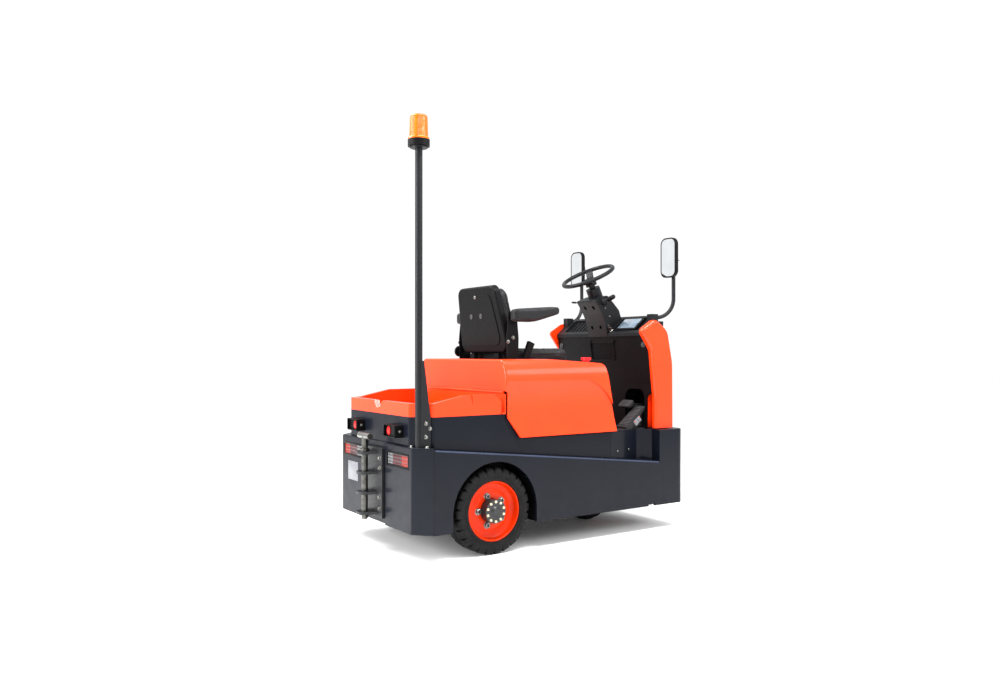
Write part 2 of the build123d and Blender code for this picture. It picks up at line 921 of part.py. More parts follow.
def knee_panel():
    bend = floor_height + knee_bend_height
    thick = knee_thickness
    outline = [
        (knee_foot_x, floor_height), (knee_foot_x, bend), (knee_top_x, knee_top),
        (knee_top_x + thick, knee_top), (knee_foot_x + thick, bend), (knee_foot_x + thick, floor_height),
    ]
    panel = side_prism(outline, -dash_reach, dash_reach)
    behind = knee_top_x
    ahead = knee_foot_x + thick
    arch_middle = floor_height
    panel -= window(
        pedal_arch_y, arch_middle, pedal_arch_width, 2 * pedal_arch_height, pedal_arch_radius, behind, ahead
    )
    panel -= window(
        -dash_reach, arch_middle, 2 * side_opening_width, 2 * side_opening_height, side_opening_radius, behind, ahead
    )
    pocket = side_prism(
        [
            (knee_foot_x, bend), (knee_top_x, knee_top),
            (knee_top_x + pocket_depth, knee_top), (knee_foot_x + pocket_depth, bend),
        ],
        -dash_reach, dash_reach,
    )
    pocket &= window(
        pocket_centre_y, knee_top - pocket_top_drop - pocket_height / 2, pocket_width, pocket_height,
        pocket_radius, behind, ahead,
    )
    return panel - pocket


# Points of the dashboard's side outline: distance ahead of the knee panel's top, height above it, corner radius
dash_outline = ((-8, 0), (-8, 22, 6), (122, 130, 10), (146, 124, 8), (142, 22), (60, 0))


def dash_pocket():
    # Shallow tray sunk square into the sloping top, beside the column
    (low_x, low_z), (high_x, high_z) = (point[:2] for point in dash_outline[1:3])
    start = (knee_top_x + low_x, 0, knee_top + low_z)
    way = Vector(high_x - low_x, 0, high_z - low_z)
    inner = column_half_width + dash_pocket_margin
    outer = dash_reach - ear_width - dash_pocket_margin
    near = dash_pocket_margin
    far = way.length - dash_pocket_margin
    corner = dash_pocket_radius
    face = outline_face([(near, inner, corner), (far, inner, corner), (far, outer, corner), (near, outer, corner)])
    top = Plane(origin=start, x_dir=way, z_dir=(-way.Z, 0, way.X))
    return extrude(top * face, amount=dash_pocket_depth, both=True)


def dashboard():
    outline = [(knee_top_x + ahead, knee_top + up, *radius) for ahead, up, *radius in dash_outline]
    body = side_prism(outline, -dash_reach, dash_reach)
    slot = column_half_width + fit_gap
    slot_x = knee_top_x + dash_outline[0][0]
    top = knee_top + dash_outline[2][1]
    body -= block(slot_x, slot_x + dash_slot_length, -slot, slot, knee_top, top)
    pocket = dash_pocket()
    body = body - pocket - other_side(pocket)
    ear_x = knee_top_x + ear_setback
    ear_inner = dash_reach - ear_width
    ear_low = knee_top + ear_rise
    ear = block(ear_x, ear_x + ear_length, ear_inner, dash_reach, ear_low, ear_low + ear_height)
    arm_low = ear_low + ear_height - mirror_arm_drop - mirror_arm_diameter
    cleared = block(ear_x + ear_length, body_length, ear_inner, dash_reach, arm_low, top)
    body = body - cleared - other_side(cleared)
    return body + ear + other_side(ear)


# Points of the column's side outline: distance ahead of the knee panel's top, height above it, corner radius
column_outline = (
    (-8, 0), (-38, 120, 260), (-112, 230, 10), (-12, 267, 30), (88, 172, 40), (107, 120, 30), (107, 0),
)


def steering_axis(distance):
    # A point on the steering shaft, this far above the centre of the wheel
    lean = radians(steering_tilt)
    return (steering_centre_x - distance * sin(lean), 0, steering_centre_height + distance * cos(lean))


def column_face_x(height):
    # The driver's side of the column at this height above the knee panel's top
    low, middle, high = (point[:2] for point in column_outline[:3])
    start, end = (low, middle) if height < middle[1] else (middle, high)
    return knee_top_x + start[0] + (end[0] - start[0]) * (height - start[1]) / (end[1] - start[1])


def steering_column():
    outline = [(knee_top_x + ahead, knee_top + up, *radius) for ahead, up, *radius in column_outline]
    column = side_prism(outline, -column_half_width, column_half_width)
    shaft_foot = -steering_dish - steering_hub_height
    column = column + rod(
        steering_axis(shaft_foot - steering_head_length), steering_axis(shaft_foot), steering_head_diameter
    )
    for row in column_hole_rows:
        face_x = column_face_x(row)
        for side in (-1, 1):
            y = side * column_hole_spacing / 2
            start = (face_x - column_hole_depth, y, knee_top + row)
            end = (face_x + column_hole_depth, y, knee_top + row)
            column -= rod(start, end, column_hole_diameter)
    return column


def steering_wheel():
    ring = steering_wheel_diameter / 2 - steering_rim_diameter / 2
    hub_radius = steering_hub_diameter / 2
    half = spoke_thickness / 2
    low = -steering_dish
    wheel = Torus(ring, steering_rim_diameter / 2)
    wheel = wheel + Pos(0, 0, low) * Cylinder(hub_radius, steering_hub_height)
    shaft_foot = low - steering_hub_height + running_gap
    wheel = wheel + rod((0, 0, shaft_foot), (0, 0, low), steering_shaft_diameter)
    spoke_points = [
        (0, low - half), (hub_radius, low - half), (ring, -half),
        (ring, half), (hub_radius, low + half), (0, low + half),
    ]
    spoke = side_prism(spoke_points, -spoke_width / 2, spoke_width / 2)
    for turn in (spoke_turn, spoke_turn + 180):
        wheel = wheel + Rot(0, 0, turn) * spoke
    return Pos(*steering_axis(0)) * Rot(0, -steering_tilt, 0) * wheel


# Column levers: side, diameter, reach, lean, rise, then the housing's length, height and reach
lever_table = (
    (-1, lever_diameter, lever_reach, lever_lean, lever_rise,
     lever_housing_length, lever_housing_height, lever_housing_reach),
    (1, stalk_diameter, stalk_reach, stalk_lean, stalk_rise,
     stalk_housing_length, stalk_housing_height, stalk_housing_reach),
)


def column_levers():
    x = knee_top_x - lever_root_setback
    z = knee_top + lever_root_rise
    levers = []
    for side, diameter, reach, lean, rise, length, height, housing_reach in lever_table:
        root = column_half_width
        stick = rod((x, root, z), (x + lean, root + reach, z + rise), diameter)
        stick = stick + block(
            x - length / 2, x + length / 2, root, root + housing_reach, z - height / 2, z + height / 2
        )
        stick -= block(x - length, x + length, 0, root, z - length, z + length)
        levers.append(stick if side > 0 else other_side(stick))
    return Compound([solid for lever in levers for solid in lever.solids()])


def accelerator_pedal():
    heel_x = front_block_x - accelerator_setback
    toe_x = heel_x + accelerator_length
    floor = floor_height
    thick = accelerator_thickness
    outer = accelerator_inset - cowl_inside
    inner = outer + accelerator_width
    toe = floor + accelerator_rise
    slope = (toe - floor) / (toe_x - heel_x - accelerator_foot)
    plate = side_prism(
        [
            (heel_x, floor), (heel_x, floor + thick), (toe_x, toe + thick), (toe_x, toe),
            (heel_x + accelerator_foot, floor),
        ],
        outer, inner,
    )
    box_x = toe_x - accelerator_foot
    box_top = floor + slope * (box_x - heel_x - accelerator_foot)
    box = side_prism(
        [(heel_x + accelerator_foot, floor), (box_x, box_top), (box_x, floor)],
        outer + accelerator_foot / 2, inner - accelerator_foot / 2,
    )
    return plate + box


def brake_pedal():
    # Pad on an arm that goes through the arch in the knee panel to a foot on the front deck
    y = brake_pad_inset - cowl_inside
    x = front_block_x - brake_pad_setback
    z = floor_height + brake_pad_rise
    pad_face = RectangleRounded(brake_pad_height, brake_pad_width, brake_pad_height / 3)
    pad = Pos(x, y, z) * Rot(0, -brake_pad_tilt, 0) * extrude(pad_face, amount=brake_pad_thickness / 2, both=True)
    half = brake_arm_depth / 2
    leg_x = x + brake_arm_reach
    foot = floor_height + fit_gap
    arm = side_prism(
        [
            (x, z - half), (x, z), (leg_x + brake_arm_depth, z, half), (leg_x + brake_arm_depth, foot),
            (leg_x, foot), (leg_x, z - brake_arm_depth, half),
        ],
        y - brake_arm_width / 2, y + brake_arm_width / 2,
    )
    return pad + arm


# Lamps at the front

def lamp_panel_points():
    nose_x, nose_height = cowl_point(6)
    foot_x, foot_height = cowl_point(7)
    lean = (foot_x - nose_x) / (nose_height - foot_height)
    low = floor_height + lamp_panel_rise
    high = low + lamp_panel_height
    rear = foot_x + fit_gap
    front = foot_x + lamp_panel_depth
    return [
        (rear - lean * (low - foot_height), low), (front, low),
        (front, high), (rear - lean * (high - foot_height), high),
    ]


def headlamp_panel():
    reach = cowl_half_width - lamp_panel_inset
    return side_prism(lamp_panel_points(), -reach, reach)


def headlamp_lenses():
    front, low = lamp_panel_points()[1]
    y = headlamp_spacing / 2
    z = low + lamp_panel_height / 2
    return both_sides(rod((front, y, z), (front + headlamp_depth, y, z), headlamp_diameter))


# Rear wheels and axle

def wheel_ring(radius, along):
    # Many-sided ring line round the wheel's axis, with a corner straight down
    return Pos(0, along, 0) * (Plane.XZ * RegularPolygon(radius, tyre_facets))


def tyre_body(diameter, width, rim_diameter):
    # Flat tread, slanting shoulders and straight side walls
    outer = diameter / 2
    half = width / 2
    tread = half - tyre_shoulder_width
    wall = outer - tyre_shoulder_height
    rings = [(wall, half), (outer, tread), (outer, -tread), (wall, -half)]
    body = loft([wheel_ring(*ring) for ring in rings], ruled=True)
    bore = (rim_diameter / 2 + fit_gap) / cos(pi / tyre_facets)
    return body - extrude(wheel_ring(bore, 0), amount=width, both=True)


def rear_tyre():
    outer = rear_tyre_diameter / 2
    half = rear_tyre_width / 2
    tyre = tyre_body(rear_tyre_diameter, rear_tyre_width, rear_rim_diameter)
    groove = block(
        outer - lug_groove_depth, outer + lug_groove_depth, half - lug_groove_length, half + lug_groove_depth,
        -lug_groove_width / 2, lug_groove_width / 2,
    )
    pitch = 360 / lug_count
    grooves = []
    for index in range(lug_count):
        angle = pitch * (index + 1 / 4)
        grooves += [Rot(0, angle, 0) * groove, Rot(0, angle + pitch / 2, 0) * other_side(groove)]
    return Pos(axle_x, tyre_outer - half, wheel_height) * (tyre - grooves)


def rear_rim():
    lip = rear_rim_diameter / 2
    inner = lip - rim_wall
    back = tyre_inner + rim_lip_inset
    bore = hub_diameter / 2 + fit_gap
    section = [
        (lip, rim_outer), (lip, back), (inner, back), (inner, disc_inner),
        (bore, disc_inner), (bore, disc_outer), (inner, disc_outer), (inner, rim_outer),
    ]
    return Pos(axle_x, 0, wheel_height) * turned(section)


def rear_hub():
    flange = disc_inner - hub_flange_thickness
    spindle = axle_tube_diameter / 2
    start = axle_end + running_gap
    cap = cap_diameter / 2
    section = [
        (0, start), (spindle, start), (spindle, flange), (hub_flange_diameter / 2, flange),
        (hub_flange_diameter / 2, disc_inner), (hub_diameter / 2, disc_inner), (hub_diameter / 2, hub_outer),
        (cap, hub_outer), (cap - cap_height, hub_outer + cap_height), (0, hub_outer + cap_height),
    ]
    return Pos(axle_x, 0, wheel_height) * turned(section)


def rear_axle():
    tube = rod((axle_x, -axle_end, wheel_height), (axle_x, axle_end, wheel_height), axle_tube_diameter)
    half = gearcase_width / 2
    case_height = wheel_height + gearcase_rise
    gearcase = rod((axle_x, -half, case_height), (axle_x, half, case_height), gearcase_diameter)
    motor_height = wheel_height + motor_rise
    motor_front = axle_x + gearcase_diameter / 2 + motor_length
    motor = rod((axle_x, 0, motor_height), (motor_front, 0, motor_height), motor_diameter)
    half = saddle_length / 2
    saddle = block(axle_x - half, axle_x + half, rail_inner, rail_outer, wheel_height, rail_bottom)
    return tube + gearcase + motor + saddle + other_side(saddle)


# Steered front wheel

def steer_fork():
    leg_inner = front_tyre_width / 2 + fork_gap
    leg_outer = leg_inner + fork_plate
    half = fork_width / 2
    axle_height = front_wheel_height
    leg = block(steer_x - half, steer_x + half, leg_inner, leg_outer, axle_height, crown_top)
    leg = leg + rod((steer_x, leg_inner, axle_height), (steer_x, leg_outer, axle_height), fork_width)
    crown = block(steer_x - half, steer_x + half, -leg_outer, leg_outer, crown_bottom, crown_top)
    axle = rod((steer_x, -leg_outer, axle_height), (steer_x, leg_outer, axle_height), front_axle_diameter)
    slew = rod((steer_x, 0, crown_top), (steer_x, 0, crown_top + slew_height), slew_diameter)
    pin_top = turret_bottom + turret_thickness + kingpin_rise
    kingpin = rod((steer_x, 0, crown_top), (steer_x, 0, pin_top), kingpin_diameter)
    return leg + other_side(leg) + crown + axle + slew + kingpin


def front_tyre():
    tyre = tyre_body(front_tyre_diameter, front_tyre_width, front_rim_diameter)
    return Pos(steer_x, 0, front_wheel_height) * tyre


def front_rim():
    lip = front_rim_diameter / 2
    inner = lip - rim_wall
    half = front_tyre_width / 2 - front_rim_inset
    disc = front_disc_thickness / 2
    bore = front_axle_diameter / 2 + fit_gap
    hub = front_axle_diameter
    reach = front_tyre_width / 2 - front_rim_inset + front_hub_reach
    side = [(bore, reach), (hub, reach), (hub, disc), (inner, disc), (inner, half), (lip, half)]
    section = side + [(radius, -along) for radius, along in reversed(side)]
    return Pos(steer_x, 0, front_wheel_height) * turned(section)


# Seat

def back_frame():
    # Plane of the backrest's rear face: its local x runs to the left, its local y up along the back
    lean = radians(back_tilt)
    return Plane(origin=(back_bottom_x, 0, back_bottom), x_dir=(0, 1, 0), z_dir=(cos(lean), 0, sin(lean)))


def back_outline(margin, lift):
    low = back_bottom_half_width - margin
    high = back_top_half_width - margin
    top = back_height - margin
    corner = back_corner_radius
    return outline_face([(-low, lift, corner), (low, lift, corner), (high, top, corner), (-high, top, corner)])


def seat_back_shell():
    frame = back_frame()
    shell = extrude(frame * back_outline(0, 0), amount=back_shell_depth)
    rear_face = shell.faces().sort_by(Axis((0, 0, 0), frame.z_dir))[0]
    shell = fillet(rear_face.edges(), back_shell_radius)
    panel = frame * back_outline(back_panel_margin, back_panel_margin)
    return shell + extrude(panel, amount=-back_panel_height)


def seat_back_cushion():
    lean = radians(back_tilt)
    reach = back_shell_depth + fit_gap
    pad = extrude(back_frame() * back_outline(back_cushion_margin, back_cushion_lift), amount=back_cushion_depth)
    return Pos(reach * cos(lean), 0, reach * sin(lean)) * pad


def seat_cushion():
    side = seat_half_width
    corner = cushion_corner_radius
    return plan_prism(
        [
            (cushion_rear_x, -side, corner), (cushion_front_x, -side, corner),
            (cushion_front_x, side, corner), (cushion_rear_x, side, corner),
        ],
        cushion_bottom, cushion_bottom + cushion_thickness,
    )


def seat_base():
    pan = block(
        back_bottom_x - seat_pan_tail, cushion_front_x - seat_pan_front_gap, -seat_half_width, seat_half_width,
        pan_plate_bottom, pan_plate_top,
    )
    runner = block(
        back_bottom_x, cushion_front_x - seat_runner_front_gap, seat_runner_y, seat_runner_y + seat_runner_width,
        seat_deck_height, pan_plate_bottom,
    )
    pivot_x = armrest_pivot_x
    waist = back_bottom + cheek_waist_rise - back_lift
    top = armrest_pivot_height + cheek_top_rise
    cheek = side_prism(
        [
            (pivot_x - cheek_foot_half, pan_plate_bottom), (pivot_x - cheek_waist_half, waist),
            (pivot_x - cheek_top_half, top), (pivot_x + cheek_top_half, top),
            (pivot_x + cheek_waist_half, waist), (pivot_x + cheek_foot_half, pan_plate_bottom),
        ],
        cheek_inner, cheek_outer,
    )
    arm = block(
        pivot_x - cheek_foot_half, pivot_x + belt_foot_x + belt_lean,
        seat_half_width - seat_pan_thickness, cheek_outer, pan_plate_bottom, pan_plate_top,
    )
    front = back_bottom_x + upright_depth
    rise = upright_depth * sin(radians(back_tilt))
    upright = side_prism(
        [
            (back_bottom_x, pan_plate_top), (back_bottom_x, back_bottom - fit_gap),
            (front, back_bottom + rise - fit_gap), (front, pan_plate_top),
        ],
        upright_inner, upright_inner + upright_width,
    )
    pin_end = cheek_outer + armrest_gap + armrest_pin_reach
    pin = rod(
        (pivot_x, cheek_inner, armrest_pivot_height), (pivot_x, pin_end, armrest_pivot_height), armrest_pin_diameter
    )
    side = runner + cheek + arm + pin + upright
    return pan + side + other_side(side)


def armrest():
    inner = cheek_outer + armrest_gap
    top = armrest_pivot_height + armrest_rear_height / 2
    bottom = top - armrest_rear_height
    rear = armrest_pivot_x - armrest_tail
    tip = rear + armrest_length
    tip_top = top + armrest_tip_rise
    corner = armrest_corner_radius
    pad = side_prism(
        [
            (rear, bottom, corner), (rear, top, corner), (tip, tip_top, corner),
            (tip, tip_top - armrest_tip_height, corner), (rear + armrest_flat, bottom, armrest_flat),
        ],
        inner, inner + armrest_width,
    )
    rims = pad.edges().group_by(Axis.Y)
    pad = fillet([*rims[0], *rims[-1]], armrest_edge_radius)
    bore_end = inner + armrest_pin_reach + fit_gap
    return pad - rod(
        (armrest_pivot_x, inner, armrest_pivot_height), (armrest_pivot_x, bore_end, armrest_pivot_height),
        armrest_pin_diameter + pin_play,
    )


def belt_parts():
    y = seat_half_width + belt_gap
    low = pan_plate_top
    foot = armrest_pivot_x + belt_foot_x
    tip = foot + belt_lean
    buckle = side_prism(
        [
            (foot, low), (foot + belt_foot_length, low), (tip + belt_length, low + belt_height),
            (tip, low + belt_height + belt_tip_rise),
        ],
        y, y + belt_width,
    )
    return both_sides(buckle)


# Mirrors

def mirror_face(margin):
    size = (mirror_width - 2 * margin, mirror_height - 2 * margin)
    face = Plane.YZ * Pos(mirror_y, mirror_z) * RectangleRounded(*size, mirror_corner_radius - margin)
    return Pos(mirror_face_x, 0, 0) * face


def mirror_head():
    head = extrude(mirror_face(0), amount=mirror_depth, dir=(1, 0, 0))
    head = fillet(head.edges().group_by(Axis.X)[-1], mirror_edge_radius)
    return head - extrude(mirror_face(mirror_rim), amount=mirror_glass_depth, dir=(1, 0, 0))


def mirror_glass():
    depth = mirror_glass_depth - 2 * fit_gap
    return Pos(fit_gap, 0, 0) * extrude(mirror_face(mirror_rim + fit_gap), amount=depth, dir=(1, 0, 0))


def mirror_arm():
    # Bent tube from the dashboard's ear up behind the mirror, with a clamp on the mirror's back
    back_x = mirror_face_x + mirror_depth
    radius = mirror_arm_diameter / 2
    x = back_x + mirror_arm_gap + radius
    start = (
        knee_top_x + ear_setback + ear_length, dash_reach - ear_width / 2,
        knee_top + ear_rise + ear_height - mirror_arm_drop,
    )
    route = FilletPolyline(
        start, (x, mirror_y, start[2]), (x, mirror_y, mirror_z + mirror_arm_top), radius=mirror_arm_bend
    )
    arm = sweep(Plane(origin=start, z_dir=route % 0) * Circle(radius), path=route)
    size = mirror_arm_diameter
    arm -= block(start[0] - size, start[0], start[1] - size, start[1] + size, start[2] - size, start[2] + size)
    half = mirror_clamp_size / 2
    return arm + block(
        back_x, x + radius + mirror_clamp_lip, mirror_y - half, mirror_y + half, mirror_z - half, mirror_z + half
    )


# Beacon

def beacon_pole():
    pole = rod((pole_x, pole_y, rear_deck_height), (pole_x, pole_y, pole_top), pole_diameter)
    plate = rod((pole_x, pole_y, pole_top), (pole_x, pole_y, beacon_base_bottom), beacon_plate_diameter)
    side = pole_y - pole_diameter / 2
    half = gusset_thickness / 2
    gusset = side_prism(
        [
            (pole_x, rear_deck_height), (pole_x + gusset_width, rear_deck_height),
            (pole_x + gusset_width, rear_deck_height + gusset_square_height),
            (pole_x + pole_diameter / 2, rear_deck_height + gusset_height),
            (pole_x, rear_deck_height + gusset_height),
        ],
        side - half, side + half,
    )
    return pole + plate + gusset


def beacon_base():
    return rod((pole_x, pole_y, beacon_base_bottom), (pole_x, pole_y, beacon_lens_bottom), beacon_base_diameter)


def beacon_lens():
    flange = beacon_flange_diameter / 2
    wide = beacon_lens_diameter / 2
    narrow = wide - beacon_lens_taper / 2
    top = beacon_lens_height
    section = Plane.XZ * outline_face(
        [
            (0, 0), (flange, 0), (flange, beacon_flange_height), (wide, beacon_flange_height),
            (narrow, top, beacon_crown_radius), (0, top),
        ]
    )
    return Pos(pole_x, pole_y, beacon_lens_bottom) * revolve(section, axis=Axis.Z)


# Rear lamps, switches and hitch

# Lamp segments from the inner end outwards: name, share of the lens
lamp_segments = (("clear", 0.26), ("red", 0.42), ("amber", 0.32))


def tail_lamp_bezel():
    frame = tail_lamp_opening() - block(0, tail_lamp_sink, 0, half_width, 0, rear_deck_height)
    edge = tail_lamp_frame
    return frame - block(
        0, tail_lens_proud + tail_lens_depth, tail_lamp_inner_y + edge, tail_lamp_inner_y + tail_lamp_width - edge,
        tail_lamp_bottom + edge, tail_lamp_bottom + tail_lamp_height - edge,
    )


def tail_lamp_lens(name):
    start = tail_lamp_inner_y + tail_lamp_frame
    span = tail_lamp_width - 2 * tail_lamp_frame
    for segment, share in lamp_segments:
        end = start + span * share
        if segment == name:
            break
        start = end
    lens = block(
        tail_lens_proud, tail_lens_proud + tail_lens_depth, start, end,
        tail_lamp_bottom + tail_lamp_frame, tail_lamp_bottom + tail_lamp_height - tail_lamp_frame,
    )
    return both_sides(lens)


def inching_switch():
    return window(
        switch_inner_y + switch_width / 2, switch_bottom + switch_height / 2, switch_width, switch_height,
        switch_radius, rear_body_x - switch_depth, rear_body_x,
    )


def inching_button():
    x = rear_body_x - switch_depth
    y = switch_inner_y + switch_button_margin
    z = switch_bottom + switch_height / 2
    return rod((x, y, z), (x - switch_button_height, y, z), switch_button_diameter)


def hitch_bracket():
    # Stepped coupling: an upright plate with lugs one above the other, bored for the tow pin
    plate_rear = hitch_recess_depth - hitch_plate_thickness
    bracket = block(
        plate_rear, hitch_recess_depth, -hitch_plate_half_width, hitch_plate_half_width,
        hitch_plate_bottom, hitch_plate_top,
    )
    nose = lug_nose_radius
    lug = plan_prism(
        [
            (plate_rear, -lug_half_width), (plate_rear, lug_half_width),
            (-hitch_reach, nose, nose - fit_gap), (-hitch_reach, -nose, nose - fit_gap),
        ],
        -lug_thickness / 2, lug_thickness / 2,
    )
    for index in range(hitch_lug_count):
        bracket = bracket + Pos(0, 0, bottom_lug + index * lug_spacing) * lug
    bore = tow_pin_diameter + pin_play
    return bracket - rod((tow_pin_x, 0, hitch_plate_bottom), (tow_pin_x, 0, hitch_plate_top), bore)


def tow_pin():
    seat = top_lug + lug_thickness / 2
    handle_height = top_lug + tow_handle_rise
    half = tow_handle_length / 2
    pin = rod((tow_pin_x, 0, bottom_lug - tow_pin_foot), (tow_pin_x, 0, handle_height), tow_pin_diameter)
    collar = rod((tow_pin_x, 0, seat), (tow_pin_x, 0, seat + tow_pin_collar_height), tow_pin_collar_diameter)
    handle = rod((tow_pin_x, -half, handle_height), (tow_pin_x, half, handle_height), tow_handle_diameter)
    return pin + collar + handle


def emergency_stop():
    x = hood_front_top_x - stop_setback
    y = -(hood_crown_half_width + well_half_width) / 2
    fall = hood_front_drop / (hood_front_top_x - hood_break_x)
    low = hood_top - fall * (x - stop_stem_diameter / 2 - hood_break_x)
    neck = low + stop_stem_height
    stem = rod((x, y, low), (x, y, neck), stop_stem_diameter)
    return stem + rod((x, y, neck), (x, y, neck + stop_head_height), stop_head_diameter)


parts = {
    "chassis_frame": chassis_frame(),
    "rear_bumper": rear_bumper(),
    "side_skirt_left": side_skirt(),
    "side_skirt_right": other_side(side_skirt()),
    "front_bumper": front_bumper(),
    "rear_body": rear_body(),
    "battery_side_panels": both_sides(battery_side_panel()),
    "cab_floor": cab_floor(),
    "cargo_tray": cargo_tray(),
    "tray_bulkhead": tray_bulkhead(),
    "seat_hood": seat_hood(),
    "battery_block": battery_block(),
    "front_cowl": front_cowl(),
    "knee_panel": knee_panel(),
    "dashboard": dashboard(),
    "headlamp_panel": headlamp_panel(),
    "headlamp_lenses": headlamp_lenses(),
    "steering_column": steering_column(),
    "steering_wheel": steering_wheel(),
    "column_levers": column_levers(),
    "accelerator_pedal": accelerator_pedal(),
    "brake_pedal": brake_pedal(),
    "rear_axle": rear_axle(),
    "rear_tyre_left": rear_tyre(),
    "rear_tyre_right": other_side(rear_tyre()),
    "rear_rim_left": rear_rim(),
    "rear_rim_right": other_side(rear_rim()),
    "rear_hub_left": rear_hub(),
    "rear_hub_right": other_side(rear_hub()),
    "steer_fork": steer_fork(),
    "front_tyre": front_tyre(),
    "front_rim": front_rim(),
    "seat_base": seat_base(),
    "seat_cushion": seat_cushion(),
    "seat_back_shell": seat_back_shell(),
    "seat_back_cushion": seat_back_cushion(),
    "armrest_left": armrest(),
    "armrest_right": other_side(armrest()),
    "belt_parts": belt_parts(),
    "mirror_arms": both_sides(mirror_arm()),
    "mirror_heads": both_sides(mirror_head()),
    "mirror_glass": both_sides(mirror_glass()),
    "beacon_pole": beacon_pole(),
    "beacon_base": beacon_base(),
    "beacon_lens": beacon_lens(),
    "tail_lamp_bezels": both_sides(tail_lamp_bezel()),
    "tail_lamp_clear": tail_lamp_lens("clear"),
    "tail_lamp_red": tail_lamp_lens("red"),
    "tail_lamp_amber": tail_lamp_lens("amber"),
    "inching_switches": both_sides(inching_switch()),
    "inching_buttons": both_sides(inching_button()),
    "hitch_bracket": hitch_bracket(),
    "tow_pin": tow_pin(),
    "emergency_stop": emergency_stop(),
}

for name, shape in parts.items():
    export_step(Pos(origin_shift, 0, 0) * shape, f"parts/{name}.step")
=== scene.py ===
from math import asin, atan2, copysign, cos, pi, radians, sin, sqrt, tan

import bmesh
import bpy
from mathutils import Matrix, Vector


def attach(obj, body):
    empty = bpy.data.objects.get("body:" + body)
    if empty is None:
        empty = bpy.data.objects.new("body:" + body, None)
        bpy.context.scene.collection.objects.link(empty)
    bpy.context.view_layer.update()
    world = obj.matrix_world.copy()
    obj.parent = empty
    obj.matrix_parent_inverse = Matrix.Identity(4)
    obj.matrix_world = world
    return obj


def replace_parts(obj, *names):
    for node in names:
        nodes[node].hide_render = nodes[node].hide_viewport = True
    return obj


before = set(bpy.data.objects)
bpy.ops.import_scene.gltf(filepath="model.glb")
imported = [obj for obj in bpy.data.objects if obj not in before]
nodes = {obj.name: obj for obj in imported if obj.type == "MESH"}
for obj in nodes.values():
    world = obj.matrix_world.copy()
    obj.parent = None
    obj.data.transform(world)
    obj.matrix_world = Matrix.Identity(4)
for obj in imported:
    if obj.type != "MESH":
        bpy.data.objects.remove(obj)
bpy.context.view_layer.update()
scene = bpy.context.scene
print("frame loaded:", len(nodes), "nodes")

rear = -0.876  # x of the lower body's rear face; places below are metres forward of it, to the left and up


def at(x, y, z):
    return Vector((x + rear, y, z))


# finishes

def tint(red, green, blue):  # screen colour, 0 to 255, to the linear value that a shader takes
    def linear(value):
        value /= 255
        return value / 12.92 if value <= 0.04045 else ((value + 0.055) / 1.055) ** 2.4
    return (linear(red), linear(green), linear(blue), 1)


def newMaterial(name):
    mat = bpy.data.materials.new(name)
    mat.use_nodes = True
    tree = mat.node_tree
    coords = addNode(tree, "TexCoord").outputs["Object"]
    return mat, tree, tree.nodes["Principled BSDF"], coords


def addNode(tree, kind, **values):
    node = tree.nodes.new("ShaderNode" + kind)
    for name, value in values.items():
        setattr(node, name, value)
    return node


def setSockets(node, values):
    for name, value in values.items():
        node.inputs[name].default_value = value


def addNoise(tree, coords, scale, detail):
    noise = addNode(tree, "TexNoise")
    setSockets(noise, {"Scale": scale, "Detail": detail})
    tree.links.new(coords, noise.inputs["Vector"])
    return noise.outputs["Fac"]


def addWave(tree, coords, scale, direction):
    wave = addNode(tree, "TexWave", bands_direction=direction, wave_profile="SIN")
    setSockets(wave, {"Scale": scale})
    tree.links.new(coords, wave.inputs["Vector"])
    return wave.outputs["Fac"]


def addRange(tree, source, low, high, start=0.3, end=0.7):
    spread = addNode(tree, "MapRange")
    setSockets(spread, {"From Min": start, "From Max": end, "To Min": low, "To Max": high})
    tree.links.new(source, spread.inputs["Value"])
    return spread.outputs["Result"]


def addMath(tree, operation, first, second):
    node = addNode(tree, "Math", operation=operation)
    tree.links.new(first, node.inputs[0])
    tree.links.new(second, node.inputs[1])
    return node.outputs[0]


def addMix(tree, factor, first, second):
    mix = addNode(tree, "Mix", data_type="RGBA")
    tree.links.new(factor, mix.inputs["Factor"])
    for socket, value in ((mix.inputs[6], first), (mix.inputs[7], second)):
        if isinstance(value, tuple):
            socket.default_value = value
        else:
            tree.links.new(value, socket)
    return mix.outputs[2]


def addBump(tree, height, strength, distance, under=None):
    bump = addNode(tree, "Bump")
    setSockets(bump, {"Strength": strength, "Distance": distance})
    tree.links.new(height, bump.inputs["Height"])
    if under:
        tree.links.new(under, bump.inputs["Normal"])
    return bump.outputs["Normal"]


def addSoftEdge(tree, radius):  # sheet and moulding edges catch the light as a thin line
    edge = addNode(tree, "Bevel", samples=4)
    setSockets(edge, {"Radius": radius})
    return edge.outputs["Normal"]


def linkPaint(tree, shader, coords, tints, scale, detail, start=0.3, end=0.7):  # two tints, mixed in patches
    patches = addRange(tree, addNoise(tree, coords, scale, detail), 0, 1, start, end)
    tree.links.new(addMix(tree, patches, *(tint(*colour) for colour in tints)), shader.inputs["Base Color"])


def linkRough(tree, shader, coords, scale, detail, low, high):
    tree.links.new(addRange(tree, addNoise(tree, coords, scale, detail), low, high), shader.inputs["Roughness"])


plainFinish = dict(depth=0.0002, edge=0.002, coat=0.0, metal=0)  # where a finish says nothing else
